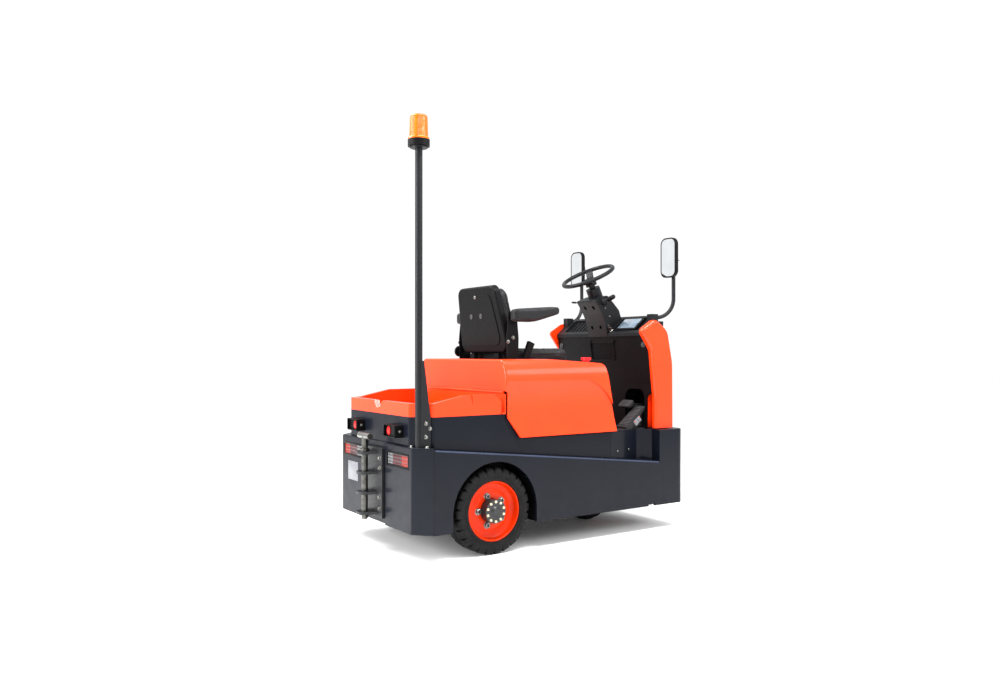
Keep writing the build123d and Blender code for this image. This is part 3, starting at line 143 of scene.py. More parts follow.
# colour and second colour, mottle and grain sizes in cycles per metre, roughness from and to, bump depth in metres,
# edge radius in metres, dust colour and how much of it lies low down
finishes = {
    "orangeCover": dict(colour=(250, 53, 4), second=(250, 57, 6), mottle=5, grain=900, rough=(0.34, 0.44),
                        depth=0.0001, edge=0.004, shine=0.14, coat=0.4, dust=(214, 110, 74), dusty=0.2),
    "darkBody": dict(colour=(13, 16, 25), second=(10, 13, 21), mottle=4, grain=800, rough=(0.36, 0.46),
                     depth=0.00015, edge=0.006, shine=0.06, coat=0.17, dust=(48, 48, 54), dusty=0.12),
    # painted highlight: light blue-grey for the bright line that the skirts' rounded top edge catches, not a paint of
    # its own
    "sillHighlightPaint": dict(colour=(54, 62, 82), second=(44, 52, 70), mottle=4, grain=800, rough=(0.36, 0.46),
                      depth=0.00015, edge=0.006, shine=0.06, coat=0.17, dust=(48, 48, 54), dusty=0.12),
    "frameBlack": dict(colour=(17, 18, 22), second=(12, 13, 16), mottle=9, grain=500, rough=(0.4, 0.54),
                       depth=0.0003, edge=0.0015, shine=0.22, dust=(52, 50, 48), dusty=0.25),
    "blackPlastic": dict(colour=(9, 9, 11), second=(7, 7, 8), mottle=14, grain=1500, rough=(0.4, 0.52),
                         shine=0.09, dust=(36, 36, 38), dusty=0.1),
    "controlGrey": dict(colour=(19, 20, 23), second=(15, 16, 18), mottle=14, grain=1500, rough=(0.34, 0.46),
                        shine=0.16, dust=(50, 50, 52), dusty=0.1),
    "greyPlastic": dict(colour=(62, 62, 64), second=(54, 54, 56), mottle=14, grain=1500, rough=(0.42, 0.55),
                        shine=0.35, dust=(80, 78, 76), dusty=0.1),
    "batteryCase": dict(colour=(62, 64, 68), second=(48, 50, 54), mottle=8, grain=400, rough=(0.5, 0.65),
                        depth=0.0004, edge=0.004, shine=0.4, dust=(90, 88, 84), dusty=0.3),
    "wheelRed": dict(colour=(206, 46, 0), second=(192, 38, 0), mottle=12, grain=500, rough=(0.3, 0.42),
                     shine=0.12, coat=0.04, dust=(130, 50, 28), dusty=0.25),
    "hubDark": dict(colour=(30, 31, 34), second=(22, 23, 25), mottle=30, grain=300, rough=(0.35, 0.5),
                    depth=0.0004, shine=0.35, coat=0.1, dust=(60, 56, 52), dusty=0.25),
    "buttonRed": dict(colour=(214, 16, 16), second=(204, 12, 12), mottle=40, grain=1200, rough=(0.2, 0.3),
                      depth=0.0001, edge=0.003, shine=0.2, coat=0.06, dust=(220, 90, 84), dusty=0.1),
    "stopRed": dict(colour=(214, 20, 28), second=(200, 16, 24), mottle=40, grain=1200, rough=(0.24, 0.34),
                    depth=0.0001, edge=0.003, shine=0.4, coat=0.2, dust=(180, 70, 64), dusty=0.1),
    "pedalRubber": dict(colour=(26, 26, 28), second=(20, 20, 22), mottle=30, grain=900, rough=(0.55, 0.7),
                        depth=0.0004, shine=0.3, dust=(66, 62, 58), dusty=0.2),
    "zinc": dict(colour=(150, 150, 146), second=(96, 96, 94), mottle=120, grain=600, rough=(0.25, 0.42),
                 edge=0.0008, shine=0.5, dust=(150, 146, 138), dusty=0.15, metal=1),
    "bareSteel": dict(colour=(98, 97, 93), second=(60, 60, 58), mottle=40, grain=500, rough=(0.3, 0.48),
                      edge=0.001, shine=0.5, dust=(116, 110, 102), dusty=0.2, metal=1),
    "hitchGrey": dict(colour=(26, 27, 30), second=(17, 18, 20), mottle=18, grain=400, rough=(0.38, 0.55),
                      depth=0.0004, shine=0.35, dust=(74, 70, 64), dusty=0.25),
    "creamBolt": dict(colour=(216, 208, 176), second=(190, 182, 150), mottle=160, grain=700, rough=(0.35, 0.5),
                      edge=0.0006, shine=0.5, dust=(150, 140, 120), dusty=0.2),
    "plateGrey": dict(colour=(112, 114, 118), second=(102, 104, 108), mottle=30, grain=900, rough=(0.3, 0.42),
                      depth=0.0001, edge=0.0006, shine=0.4, dust=(150, 150, 150), dusty=0.1),
    # painted shade: dark maroon standing in for the shadowed orange tray floor
    "trayShadeSheet": dict(colour=(58, 22, 20), second=(46, 18, 17), mottle=16, grain=700, rough=(0.55, 0.7),
                    depth=0.0006, edge=0.001, shine=0.25, dust=(80, 50, 44), dusty=0.1),
}
dustLook = dict(height=(0.1, 0.45), patches=22, spread=(0.4, 0.8))  # metres up, cycles per metre, noise from and to


def makeFinish(name):
    look = {**plainFinish, **finishes[name]}
    mat, tree, shader, coords = newMaterial(name)
    mottle = addNoise(tree, coords, look["mottle"], 5)
    paint = addMix(tree, addRange(tree, mottle, 0, 1), tint(*look["colour"]), tint(*look["second"]))
    place = addNode(tree, "SeparateXYZ")  # road dust gathers low down, in patches
    tree.links.new(coords, place.inputs[0])
    low = addRange(tree, place.outputs["Z"], look["dusty"], 0, *dustLook["height"])
    patches = addRange(tree, addNoise(tree, coords, dustLook["patches"], 6), 0, 1, *dustLook["spread"])
    dust = addMath(tree, "MULTIPLY", low, patches)
    tree.links.new(addMix(tree, dust, paint, tint(*look["dust"])), shader.inputs["Base Color"])
    linkRough(tree, shader, coords, look["mottle"] * 4, 4, *look["rough"])
    grain = addNoise(tree, coords, look["grain"], 2)
    tree.links.new(addBump(tree, grain, 0.3, look["depth"], addSoftEdge(tree, look["edge"])), shader.inputs["Normal"])
    setSockets(shader, {"Metallic": look["metal"], "Specular IOR Level": look["shine"],
                        "Coat Weight": look["coat"], "Coat Roughness": 0.12})
    return mat


def rubberGrain(tree, coords, grain=450, depth=0.0005):
    return addBump(tree, addNoise(tree, coords, grain, 3), 0.4, depth)


def leatherGrain(tree, coords, pores=420, depth=0.0005, creases=16, sag=0.004):  # pressed cells over soft folds
    cells = addNode(tree, "TexVoronoi", feature="DISTANCE_TO_EDGE")
    setSockets(cells, {"Scale": pores})
    tree.links.new(coords, cells.inputs["Vector"])
    folds = addBump(tree, addNoise(tree, coords, creases, 3), 0.25, sag)
    return addBump(tree, addRange(tree, cells.outputs["Distance"], 0, 1, 0, 0.25), 0.3, depth, folds)


def matRibs(tree, coords, ribs=60, depth=0.002):
    return addBump(tree, addWave(tree, coords, ribs, "X"), 0.6, depth)


# two tints and their patches (cycles per metre, detail, noise from and to), film over them (cycles per metre, detail,
# roughness from and to), shader values, relief
surfaces = {
    "tyreRubber": dict(tints=((11, 11, 12), (23, 22, 21)), patches=(26, 7, 0.4, 0.8), film=(60, 4, 0.5, 0.75),
                       values={"Specular IOR Level": 0.14}, relief=rubberGrain),
    "seatVinyl": dict(tints=((15, 16, 19), (11, 12, 14)), patches=(9, 5), film=(18, 4, 0.4, 0.55),
                      values={"Specular IOR Level": 0.2, "Sheen Weight": 0.05}, relief=leatherGrain),
    "floorMat": dict(tints=((26, 26, 28), (40, 39, 38)), patches=(10, 6, 0.4, 0.75), film=(30, 4, 0.55, 0.75),
                     values={"Specular IOR Level": 0.3}, relief=matRibs),
    "mirrorFace": dict(tints=((238, 240, 242), (226, 230, 233)), patches=(12, 4), film=(35, 4, 0.02, 0.07),
                       values={"Metallic": 1}),
    # painted reflection: the light blue-grey tints stand in for the bright surroundings reflected in the dark
    # display's glass
    "screenReflectionPaint": dict(tints=((122, 136, 148), (82, 96, 110)), patches=(14, 3), film=(50, 3, 0.06, 0.14),
                        values={"Coat Weight": 0.6}),  # unlit display under a glossy cover
}


def makeSurface(name):
    look = surfaces[name]
    mat, tree, shader, coords = newMaterial(name)
    linkPaint(tree, shader, coords, look["tints"], *look["patches"])
    linkRough(tree, shader, coords, *look["film"])
    if "relief" in look:
        tree.links.new(look["relief"](tree, coords), shader.inputs["Normal"])
    setSockets(shader, look["values"])
    return mat


# moulded lenses: face and depth colours, flute pitch across and up, glow, how clear
lensLooks = {
    "lensClear": dict(colour=(138, 139, 140), deep=(34, 36, 38), across=19, up=19, glow=0.02, clear=0.1,
                      depth=0.004),
    "lensRed": dict(colour=(92, 0, 12), deep=(34, 0, 4), across=21, up=17, glow=0.03, clear=0.1, depth=0.004),
    "lensAmber": dict(colour=(172, 32, 0), deep=(92, 8, 0), across=21, up=17, glow=0.05, clear=0.1, depth=0.004),
    "beaconAmber": dict(colour=(248, 134, 0), deep=(216, 90, 0), across=14, up=26, glow=0.04, clear=0.25,
                        depth=0.0006),
    "headlampClear": dict(colour=(228, 232, 236), deep=(120, 124, 130), across=42, up=14, glow=0.0, clear=0.4,
                          depth=0.002),
}
lensFilm = (60, 3, 0.08, 0.18)  # cycles per metre, detail, roughness from and to


def makeLens(name):
    look = lensLooks[name]
    mat, tree, shader, coords = newMaterial(name)
    flutes = [addWave(tree, coords, look["across"], "Y"), addWave(tree, coords, look["up"], "Z")]
    prisms = addMath(tree, "MULTIPLY", *flutes)
    tree.links.new(addMix(tree, prisms, tint(*look["deep"]), tint(*look["colour"])), shader.inputs["Base Color"])
    linkRough(tree, shader, coords, *lensFilm)
    tree.links.new(addBump(tree, prisms, 0.4, look["depth"]), shader.inputs["Normal"])
    setSockets(shader, {"Transmission Weight": look["clear"], "Specular IOR Level": 0.2, "Coat Weight": 0.08,
                        "Emission Color": tint(*look["colour"]), "Emission Strength": look["glow"]})
    return mat


skin = {name: makeFinish(name) for name in finishes}
skin.update({name: makeLens(name) for name in lensLooks})
skin.update({name: makeSurface(name) for name in surfaces})

# finish of each part that is shown as the frame has it
coats = {
    "orangeCover": "cargo_tray tray_bulkhead seat_hood front_cowl",
    "darkBody": "rear_bumper side_skirt_left side_skirt_right front_bumper rear_body battery_side_panels cab_floor",
    "frameBlack": "chassis_frame rear_axle steer_fork beacon_pole mirror_arms",
    "hitchGrey": "hitch_bracket",
    "blackPlastic": "knee_panel headlamp_panel seat_base seat_back_shell armrest_left armrest_right belt_parts "
                    "mirror_heads beacon_base tail_lamp_bezels inching_switches",
    "controlGrey": "dashboard steering_column steering_wheel column_levers",
    "batteryCase": "battery_block",
    "tyreRubber": "rear_tyre_left rear_tyre_right front_tyre",
    "wheelRed": "rear_rim_left rear_rim_right front_rim",
    "hubDark": "rear_hub_left rear_hub_right",
    "seatVinyl": "seat_cushion seat_back_cushion",
    "bareSteel": "tow_pin",
    "mirrorFace": "mirror_glass",
    "headlampClear": "headlamp_lenses",
    "lensClear": "tail_lamp_clear",
    "lensRed": "tail_lamp_red",
    "lensAmber": "tail_lamp_amber",
    "beaconAmber": "beacon_lens",
    "buttonRed": "inching_buttons",
    "stopRed": "emergency_stop",
    "pedalRubber": "accelerator_pedal brake_pedal",
}
for finishName, names in coats.items():
    for name in names.split():
        nodes[name].data.materials.clear()
        nodes[name].data.materials.append(skin[finishName])
print("finishes on the frame:", len(skin))


# mesh building


def newPiece(name, bm, finish, body="chassis", crease=35, slot=None):
    bmesh.ops.recalc_face_normals(bm, faces=bm.faces)
    mesh = bpy.data.meshes.new(name)
    bm.to_mesh(mesh)
    bm.free()
    mesh.polygons.foreach_set("use_smooth", [True] * len(mesh.polygons))
    mesh.set_sharp_from_angle(angle=radians(crease))
    mesh.materials.append(skin[finish])
    piece = bpy.data.objects.new(name, mesh)
    scene.collection.objects.link(piece)
    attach(piece, body)
    return piece


def aimed(place, axis, spin=0):  # frame at place whose z axis points along axis
    turn = Vector(axis).to_track_quat("Z", "Y").to_matrix().to_4x4()
    return Matrix.Translation(place) @ turn @ Matrix.Rotation(radians(spin), 4, "Z")


def addLathe(bm, profile, frameAt, segments=48, closed=False):  # profile of (radius, along)
    rings = []
    for radius, along in profile:
        count = segments if radius > 1e-6 else 1
        turns = [2 * pi * step / segments for step in range(count)]
        places = [Vector((radius * cos(turn), radius * sin(turn), along)) for turn in turns]
        rings.append([bm.verts.new(frameAt @ place) for place in places])
    for low, high in zip(rings, rings[1:] + (rings[:1] if closed else [])):
        for step in range(segments):
            after = (step + 1) % segments
            corners = [low[step % len(low)], low[after % len(low)], high[after % len(high)], high[step % len(high)]]
            corners = [vert for index, vert in enumerate(corners) if vert not in corners[:index]]
            if len(corners) > 2:
                bm.faces.new(corners)


def newTurned(name, profile, frames, segments, *setting, closed=False):  # the same turned form at each frame
    bm = bmesh.new()
    for frameAt in frames:
        addLathe(bm, profile, frameAt, segments, closed)
    return newPiece(name, bm, *setting)


def addBox(bm, low, high, bevel=0.0, segments=2, frameAt=Matrix()):
    low, high = Vector(low), Vector(high)
    made = bmesh.ops.create_cube(bm, size=1)["verts"]
    for vert in made:
        vert.co = Vector((low[i] + (high[i] - low[i]) * (vert.co[i] + 0.5) for i in range(3)))
    if bevel:
        edges = {edge for vert in made for edge in vert.link_edges}
        shaped = bmesh.ops.bevel(bm, geom=list(edges), offset=bevel, segments=segments, profile=0.5, affect="EDGES")
        made = list({vert for face in shaped["faces"] for vert in face.verts} | {v for v in made if v.is_valid})
    bmesh.ops.transform(bm, matrix=frameAt, verts=made)


def addBand(bm, low, high):  # faces between two rings of points
    for step in range(len(low)):
        after = (step + 1) % len(low)
        bm.faces.new((low[step], low[after], high[after], high[step]))


def addTube(bm, points, radius, sides=10, closed=False):
    points = [Vector(point) for point in points]
    count = len(points)
    rings = []
    side = None
    for index, point in enumerate(points):
        before = points[index - 1] if closed or index else point
        after = points[(index + 1) % count] if closed or index < count - 1 else point
        way = (after - before).normalized()
        if side is None:
            side = way.orthogonal().normalized()
        side = (side - way * side.dot(way)).normalized()
        across = way.cross(side)
        turns = [2 * pi * step / sides for step in range(sides)]
        rings.append([bm.verts.new(point + radius * (cos(t) * side + sin(t) * across)) for t in turns])
    for low, high in zip(rings, rings[1:] + (rings[:1] if closed else [])):
        addBand(bm, low, high)
    if not closed:
        bm.faces.new(rings[0])
        bm.faces.new(rings[-1])


def addHex(bm, place, axis, across, height, washer=0.0, spin=0):  # hexagon head, its corners turned off, on a washer
    frameAt = aimed(place, axis, spin)
    lift = 0.0
    if washer:
        lift = 0.0018
        addLathe(bm, [(0, 0), (washer, 0), (washer, 0.7 * lift), (washer - 0.4 * lift, lift), (0, lift)], frameAt, 24)
    radius = across / sqrt(3)
    top = lift + height
    headProfile = [(0, lift), (radius, lift), (radius, top - 0.15 * height), (0.84 * radius, top), (0, top)]
    addLathe(bm, headProfile, frameAt, 6)


def addScrew(bm, place, axis, diameter, height):  # button head with a socket
    half = diameter / 2
    profile = [(0, 0), (half, 0), (half, 0.3 * height), (0.9 * half, 0.7 * height), (0.66 * half, height),
               (0.46 * half, height), (0.44 * half, 0.45 * height), (0, 0.42 * height)]
    addLathe(bm, profile, aimed(place, axis), 20)


def roundedOutline(corners, radius, steps=6):  # plane outline of (across, up) with round corners
    points = []
    count = len(corners)
    for index in range(count):
        here = Vector(corners[index])
        toBefore = (Vector(corners[index - 1]) - here).normalized()
        toAfter = (Vector(corners[(index + 1) % count]) - here).normalized()
        half = toBefore.angle(toAfter) / 2
        reach = radius / tan(half)
        centre = here + (toBefore + toAfter).normalized() * radius / sin(half)
        start = here + toBefore * reach - centre
        end = here + toAfter * reach - centre
        sweep = start.angle_signed(end)
        for step in range(steps + 1):
            turn = -sweep * step / steps
            cosine, sine = cos(turn), sin(turn)
            points.append(centre + Vector((start.x * cosine - start.y * sine, start.x * sine + start.y * cosine)))
    return points


def addSlab(bm, outline, layers, frameAt):  # layers of (height, inset towards the outline's middle)
    middle = sum(outline, Vector((0, 0))) / len(outline)
    rings = []
    for height, inset in layers:
        ring = []
        for point in outline:
            away = point - middle
            place = middle + away * (1 - inset / away.length)
            ring.append(bm.verts.new(frameAt @ Vector((place.x, place.y, height))))
        rings.append(ring)
    for low, high in zip(rings, rings[1:]):
        addBand(bm, low, high)
    bm.faces.new(rings[0])
    bm.faces.new(rings[-1])


# wheels

# half width and slope of a groove as shares of a lug's pitch, and the share of the outer radius it reaches down to
grooves = dict(half=0.125, slope=0.05, down=0.82)
# centre, half width, lugs and steps for each, groove depth and the distance from the middle where grooves start
rearTyre = dict(place=(0.458, 0.430, 0.23), half=0.075, lugs=26, stepsPerLug=14, groove=0.012, grooveFrom=0.034)
frontTyre = dict(place=(1.48, 0, 0.2), lugs=24, stepsPerLug=8, groove=0.006, grooveFrom=0.04)
rearTyreProfile = [
    (0.1605, 0.070), (0.163, 0.0738), (0.170, 0.0748), (0.1715, 0.0735), (0.1735, 0.0735), (0.175, 0.0748),
    (0.179, 0.0748), (0.1805, 0.0733), (0.1825, 0.0733), (0.184, 0.0748), (0.196, 0.0747), (0.2005, 0.0744),
    (0.2075, 0.0734), (0.2145, 0.0716), (0.2205, 0.0688), (0.2255, 0.0650), (0.2285, 0.0600),
    (0.2298, 0.0530), (0.23, 0.0450), (0.23, 0.0335), (0.23, 0.0200), (0.23, 0.0095), (0.2265, 0.0085),
    (0.2265, 0.0045), (0.23, 0.0035),
]
frontTyreProfile = [
    (0.1255, 0.060), (0.128, 0.0640), (0.140, 0.0648), (0.1415, 0.0636), (0.1435, 0.0636), (0.145, 0.0648),
    (0.162, 0.0646), (0.1725, 0.0630), (0.1825, 0.0585), (0.1905, 0.0530), (0.1965, 0.0470),
    (0.1995, 0.0400), (0.2, 0.0350), (0.1955, 0.0340), (0.1955, 0.0270), (0.2, 0.0260), (0.2, 0.0040),
]


def addTyre(bm, profile, place, out, look):  # profile of (radius, distance from the middle), from bead to tread
    steps = look["stepsPerLug"]
    segments = look["lugs"] * steps
    section = [(radius, -along) for radius, along in profile] + profile[::-1]
    rings = []
    for step in range(segments):
        turn = 2 * pi * step / segments
        ring = []
        for radius, along in section:
            phase = (step / steps + (0.5 if along < 0 else 0)) % 1
            cut = max(0, min(1, (grooves["half"] - abs(phase - 0.5)) / grooves["slope"]))  # flat floor, sloping sides
            grooved = abs(along) > look["grooveFrom"] and radius > grooves["down"] * profile[-1][0]
            reach = radius - look["groove"] * cut if grooved else radius
            ring.append(bm.verts.new(place + Vector((reach * cos(turn), out * along, reach * sin(turn)))))
        rings.append(ring)
    for ring, after in zip(rings, rings[1:] + rings[:1]):
        addBand(bm, ring, after)


# rim section of (radius, distance inside the tyre's outer face), from the rear lip round the outer lip to the disc
rimProfile = [
    (0.1598, 0.143), (0.1598, 0.0105), (0.1592, 0.0070), (0.1575, 0.0054), (0.1552, 0.0052),
    (0.1530, 0.0066), (0.1512, 0.0100), (0.1490, 0.0300), (0.1450, 0.0395), (0.1380, 0.0440),
    (0.1250, 0.0462), (0.1120, 0.0455), (0.1060, 0.0425), (0.1000, 0.0412), (0.0680, 0.0412),
    (0.0640, 0.0422), (0.0632, 0.0450), (0.0632, 0.0560), (0.1400, 0.0560), (0.1515, 0.0640),
    (0.1515, 0.143),
]
wheelNuts = dict(count=5, circle=0.080, across=0.027, height=0.015, hole=0.0088, inside=0.0412, first=180)
hubBolts = dict(count=10, circle=0.052, across=0.0105, height=0.0045, washer=0.0072, inside=-0.009, first=18, turn=20)


def addNut(bm, studs, place, axis, look):
    radius = look["across"] / sqrt(3)
    height = look["height"]
    frameAt = aimed(place, axis, 15)
    washer = radius + 0.003
    addLathe(bm, [(0.002, 0), (washer, 0), (washer, 0.0022), (radius, 0.003), (0.002, 0.003)], frameAt, 30)
    addLathe(bm, [(look["hole"], 0.003), (radius, 0.003), (radius, 0.86 * height), (0.85 * radius, height),
                  (look["hole"] * 1.1, height), (look["hole"], 0.9 * height)], frameAt, 6, closed=True)
    studProfile = [(0, 0.002), (0.0078, 0.002), (0.0078, 0.6 * height), (0.0062, 0.72 * height), (0, 0.72 * height)]
    addLathe(studs, studProfile, frameAt, 20)


def spokePlaces(look, face, outward):
    turns = [radians(look["first"] + 360 * index / look["count"]) for index in range(look["count"])]
    spokes = [Vector((cos(turn), 0, sin(turn))) for turn in turns]
    return [face + spoke * look["circle"] - outward * look["inside"] for spoke in spokes]


for side, out in (("left", 1), ("right", -1)):
    title, body = side.title(), "rear_wheel_" + side
    x, y, z = rearTyre["place"]
    centre, outward = at(x, out * y, z), Vector((0, out, 0))
    face = centre + outward * rearTyre["half"]
    bm = bmesh.new()
    addTyre(bm, rearTyreProfile, centre, out, rearTyre)
    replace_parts(newPiece("tyre" + title, bm, "tyreRubber", body, 40), "rear_tyre_" + side)
    section = [(radius, -inside) for radius, inside in rimProfile]
    rim = newTurned("rim" + title, section, [aimed(face, outward)], 96, "wheelRed", body, 40, closed=True)
    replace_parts(rim, "rear_rim_" + side)
    nuts, studs, bolts = bmesh.new(), bmesh.new(), bmesh.new()
    for place in spokePlaces(wheelNuts, face, outward):
        addNut(nuts, studs, place, outward, wheelNuts)
    for index, place in enumerate(spokePlaces(hubBolts, face, outward)):
        sizes = [hubBolts[key] for key in ("across", "height", "washer")]
        addHex(bolts, place, outward, *sizes, hubBolts["turn"] * index)
    newPiece("wheelNuts" + title, nuts, "zinc", body)
    newPiece("wheelStuds" + title, studs, "hubDark", body)
    newPiece("hubBolts" + title, bolts, "creamBolt", body)

bm = bmesh.new()
addTyre(bm, frontTyreProfile, at(*frontTyre["place"]), 1, frontTyre)
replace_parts(newPiece("tyreFront", bm, "tyreRubber", "front_wheel", 40), "front_tyre")
print("wheels dressed")


# bolts on washers and, where no washer is given, socket screws: sizes, then places with the way that heads face
backward, forward, leftward, rightward, upward = (-1, 0, 0), (1, 0, 0), (0, 1, 0), (0, -1, 0), (0, 0, 1)
fasteners = {
    "hitchBolts": dict(across=0.017, height=0.0085, washer=0.0135,
        places=[(at(-0.011, y, z), backward) for y in (-0.092, 0.092) for z in (0.500, 0.447, 0.291, 0.229)]),
    "gussetBolts": dict(across=0.013, height=0.0065, washer=0.0105,
        places=[(at(x, -0.453, z), rightward) for x, z in ((0.074, 0.706), (0.074, 0.638), (0.098, 0.680))]),
    "riserScrews": dict(across=0.013, height=0.005,
        places=[(at(x, side * (0.455 - (x - 1.3) * 0.2052), 0.483), (0.2, side, 0)) for side in (-1, 1)
                for x in (1.372, 1.480)]),
    "trayBolts": dict(across=0.016, height=0.008, washer=0.014,
        places=[(at(x, y, 0.746), upward) for x in (0.16, 0.46) for y in (-0.33, 0.33)]),
    "cheekBolts": dict(body="seat_hood", across=0.015, height=0.007, washer=0.0115,
        places=[(at(x, side * 0.266, z), (0, side, 0)) for side in (-1, 1)
                for x, z in ((0.705, 1.129), (0.739, 1.152))]),
    "columnScrews": dict(across=0.014, height=0.005,
        places=[(at(x, side * 0.095, z), (0, side, 0)) for side in (-1, 1)
                for x, z in ((1.575, 1.352), (1.612, 1.300))]),
    "beaconScrews": dict(across=0.007, height=0.003,
        places=[(at(0.045 + 0.0515 * cos(t), -0.43 + 0.0515 * sin(t), 2.159), upward)
                for t in (0.6, 2.7, 4.8)]),
    "switchScrews": dict(across=0.016, height=0.007,
        places=[(at(0.002, side * y, 0.6585), (0, side * way, 0)) for side in (-1, 1)
                for y, way in ((0.303, 1), (0.172, -1))]),
    "bumperBolts": dict(across=0.014, height=0.008, washer=0.0115,
        places=[(at(x, y, 0.586), upward) for x, y in ((0.017, -0.405), (0.064, -0.484))]),
}

for name, kit in fasteners.items():
    bm = bmesh.new()
    for place, way in kit["places"]:
        if "washer" in kit:
            addHex(bm, place, way, kit["across"], kit["height"], kit["washer"])
        else:
            addScrew(bm, place, way, kit["across"], kit["height"])
    newPiece(name, bm, "zinc", kit.get("body", "chassis"))
print("fasteners set:", sum(len(kit["places"]) for kit in fasteners.values()))


# seat

backTilt = radians(10)
backFrame = Matrix.Translation(at(0.712, 0, 1.062)) @ Matrix((
    (0, -sin(backTilt), cos(backTilt), 0), (1, 0, 0, 0),
    (0, cos(backTilt), sin(backTilt), 0), (0, 0, 0, 1)))  # x to the left, y up the back, z to the front

# outline corners and radius, layers of (height, inset), voxel, pressure, the most that a point may move, fill, piping
cushions = {
    "seatCushion": dict(
        corners=[(0.768, -0.232), (1.197, -0.232), (1.197, 0.232), (0.768, 0.232)], radius=0.07,
        layers=[(1.002, 0.012), (1.012, 0.001), (1.062, 0.0), (1.078, 0.010), (1.086, 0.035), (1.080, 0.075)],
        frame=Matrix.Translation((rear, 0, 0)), voxel=0.0055, pressure=4, cap=0.009, fill=0.7,
        node="seat_cushion", body="seat_hood", pipeAt=1.066),
    "seatBackCushion": dict(
        corners=[(-0.226, 0.050), (0.226, 0.050), (0.180, 0.373), (-0.180, 0.373)], radius=0.055,
        layers=[(0.044, 0.004), (0.052, 0.0), (0.092, 0.0), (0.108, 0.010), (0.116, 0.032), (0.108, 0.070)],
        frame=backFrame, voxel=0.0055, pressure=4, cap=0.008, fill=0.7,
        node="seat_back_cushion", body="seat_hood", pipeAt=0.098),
}
swellFrames = 20
piping = dict(radius=0.0032, beyond=0.02)  # beyond: share by which the outline is widened to find the side


def swell(piece, pressure, cap):  # cloth filled with air, each point held to a short way
    start = [vert.co.copy() for vert in piece.data.vertices]
    cloth = piece.modifiers.new("air", "CLOTH")
    cloth.settings.use_pressure = True
    cloth.settings.uniform_pressure_force = pressure
    cloth.settings.effector_weights.gravity = 0
    for number in range(1, swellFrames + 1):
        scene.frame_set(number)
    full = bpy.data.meshes.new_from_object(piece.evaluated_get(bpy.context.evaluated_depsgraph_get()))
    ends = [vert.co.copy() for vert in full.vertices]
    piece.modifiers.remove(cloth)
    bpy.data.meshes.remove(full)
    scene.frame_set(1)
    for vert, before, after in zip(piece.data.vertices, start, ends):
        move = after - before
        vert.co = before + move * min(1, cap / max(move.length, 1e-9))


def remesh(piece, voxel):
    knit = piece.modifiers.new("voxels", "REMESH")
    knit.mode = "VOXEL"
    knit.voxel_size = voxel
    made = bpy.data.meshes.new_from_object(piece.evaluated_get(bpy.context.evaluated_depsgraph_get()))
    piece.modifiers.remove(knit)
    made.materials.clear()
    made.materials.append(piece.data.materials[0])
    piece.data = made
    made.polygons.foreach_set("use_smooth", [True] * len(made.polygons))


def newPad(name, look, outline, layers, frameAt, body, node, smooth):
    bm = bmesh.new()
    addSlab(bm, outline, layers, frameAt)
    piece = newPiece(name, bm, "seatVinyl", body)
    remesh(piece, look["voxel"])
    swell(piece, look["pressure"], look["cap"])
    if smooth:
        finer = piece.modifiers.new("smooth", "SUBSURF")
        finer.levels = finer.render_levels = 1
    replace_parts(piece, node)
    return piece


def makeCushion(name, look):
    outline = roundedOutline(look["corners"], look["radius"], 8)
    piece = newPad(name, look, outline, look["layers"], look["frame"], look["body"], look["node"], True)
    middle = sum(outline, Vector((0, 0))) / len(outline)
    path = []
    for point in outline:  # the piping follows the swollen side
        away = (point - middle) * (1 + piping["beyond"])
        spot = look["frame"] @ Vector((middle.x + away.x, middle.y + away.y, look["pipeAt"]))
        near = piece.closest_point_on_mesh(piece.matrix_world.inverted() @ spot)[1]
        path.append(piece.matrix_world @ near)
    bm = bmesh.new()
    addTube(bm, path, piping["radius"], 8, closed=True)
    newPiece(name + "Piping", bm, "seatVinyl", look["body"], 60)


for name, look in cushions.items():
    makeCushion(name, look)
print("cushions sewn")

armrest = dict(corners=[(0.711, 1.2445), (0.856, 1.2445), (1.034, 1.294), (1.034, 1.334), (0.711, 1.3115)],
               radius=0.017, inner=0.273, outer=0.323, roll=[(0.0, 0.010), (0.004, 0.003), (0.010, 0.0)],
               voxel=0.004, pressure=3, cap=0.003, fill=0.9)


def makeArmrest(side, sign, look):
    outline = roundedOutline(look["corners"], look["radius"], 6)
    layers = [(look["inner"] + depth, inset) for depth, inset in look["roll"]]
    layers += [(look["outer"] - depth, inset) for depth, inset in reversed(look["roll"])]
    turn = Matrix(((1, 0, 0, rear), (0, 0, sign, 0), (0, 1, 0, 0), (0, 0, 0, 1)))
    newPad("armrestPad" + side.title(), look, outline, layers, turn, "armrest_" + side, "armrest_" + side, False)


for side, sign in (("left", 1), ("right", -1)):
    makeArmrest(side, sign, armrest)

# backrest shell: slotted cap at the top, two moulded hollows with rings
shellTrim = dict(cap=(0.0, 0.335), capSize=0.011, hollows=[(0.075, 0.222), (-0.030, 0.222)], hollowSize=0.013,
                 rear=-0.004)


def shellFrame(across, up):
    return backFrame @ Matrix.Translation((across, up, shellTrim["rear"])) @ Matrix.Rotation(pi, 4, "X")


bm = bmesh.new()
size, capFrame = shellTrim["capSize"], shellFrame(*shellTrim["cap"])
addLathe(bm, [(0, 0), (size, 0), (size, 0.003), (0.8 * size, 0.0055), (0, 0.006)], capFrame, 28)
addBox(bm, (-0.8 * size, -0.0012, 0.0055), (0.8 * size, 0.0012, 0.0068), frameAt=capFrame)
newPiece("backCap", bm, "zinc", "seat_hood")
size = shellTrim["hollowSize"]
ringProfile = [(0, 0.0005), (0.75 * size, 0.0005), (0.85 * size, 0.0028), (size, 0.0028), (1.15 * size, 0.0)]
hollowFrames = [shellFrame(*place) for place in shellTrim["hollows"]]
newTurned("backHollows", ringProfile, hollowFrames, 32, "greyPlastic", "seat_hood")

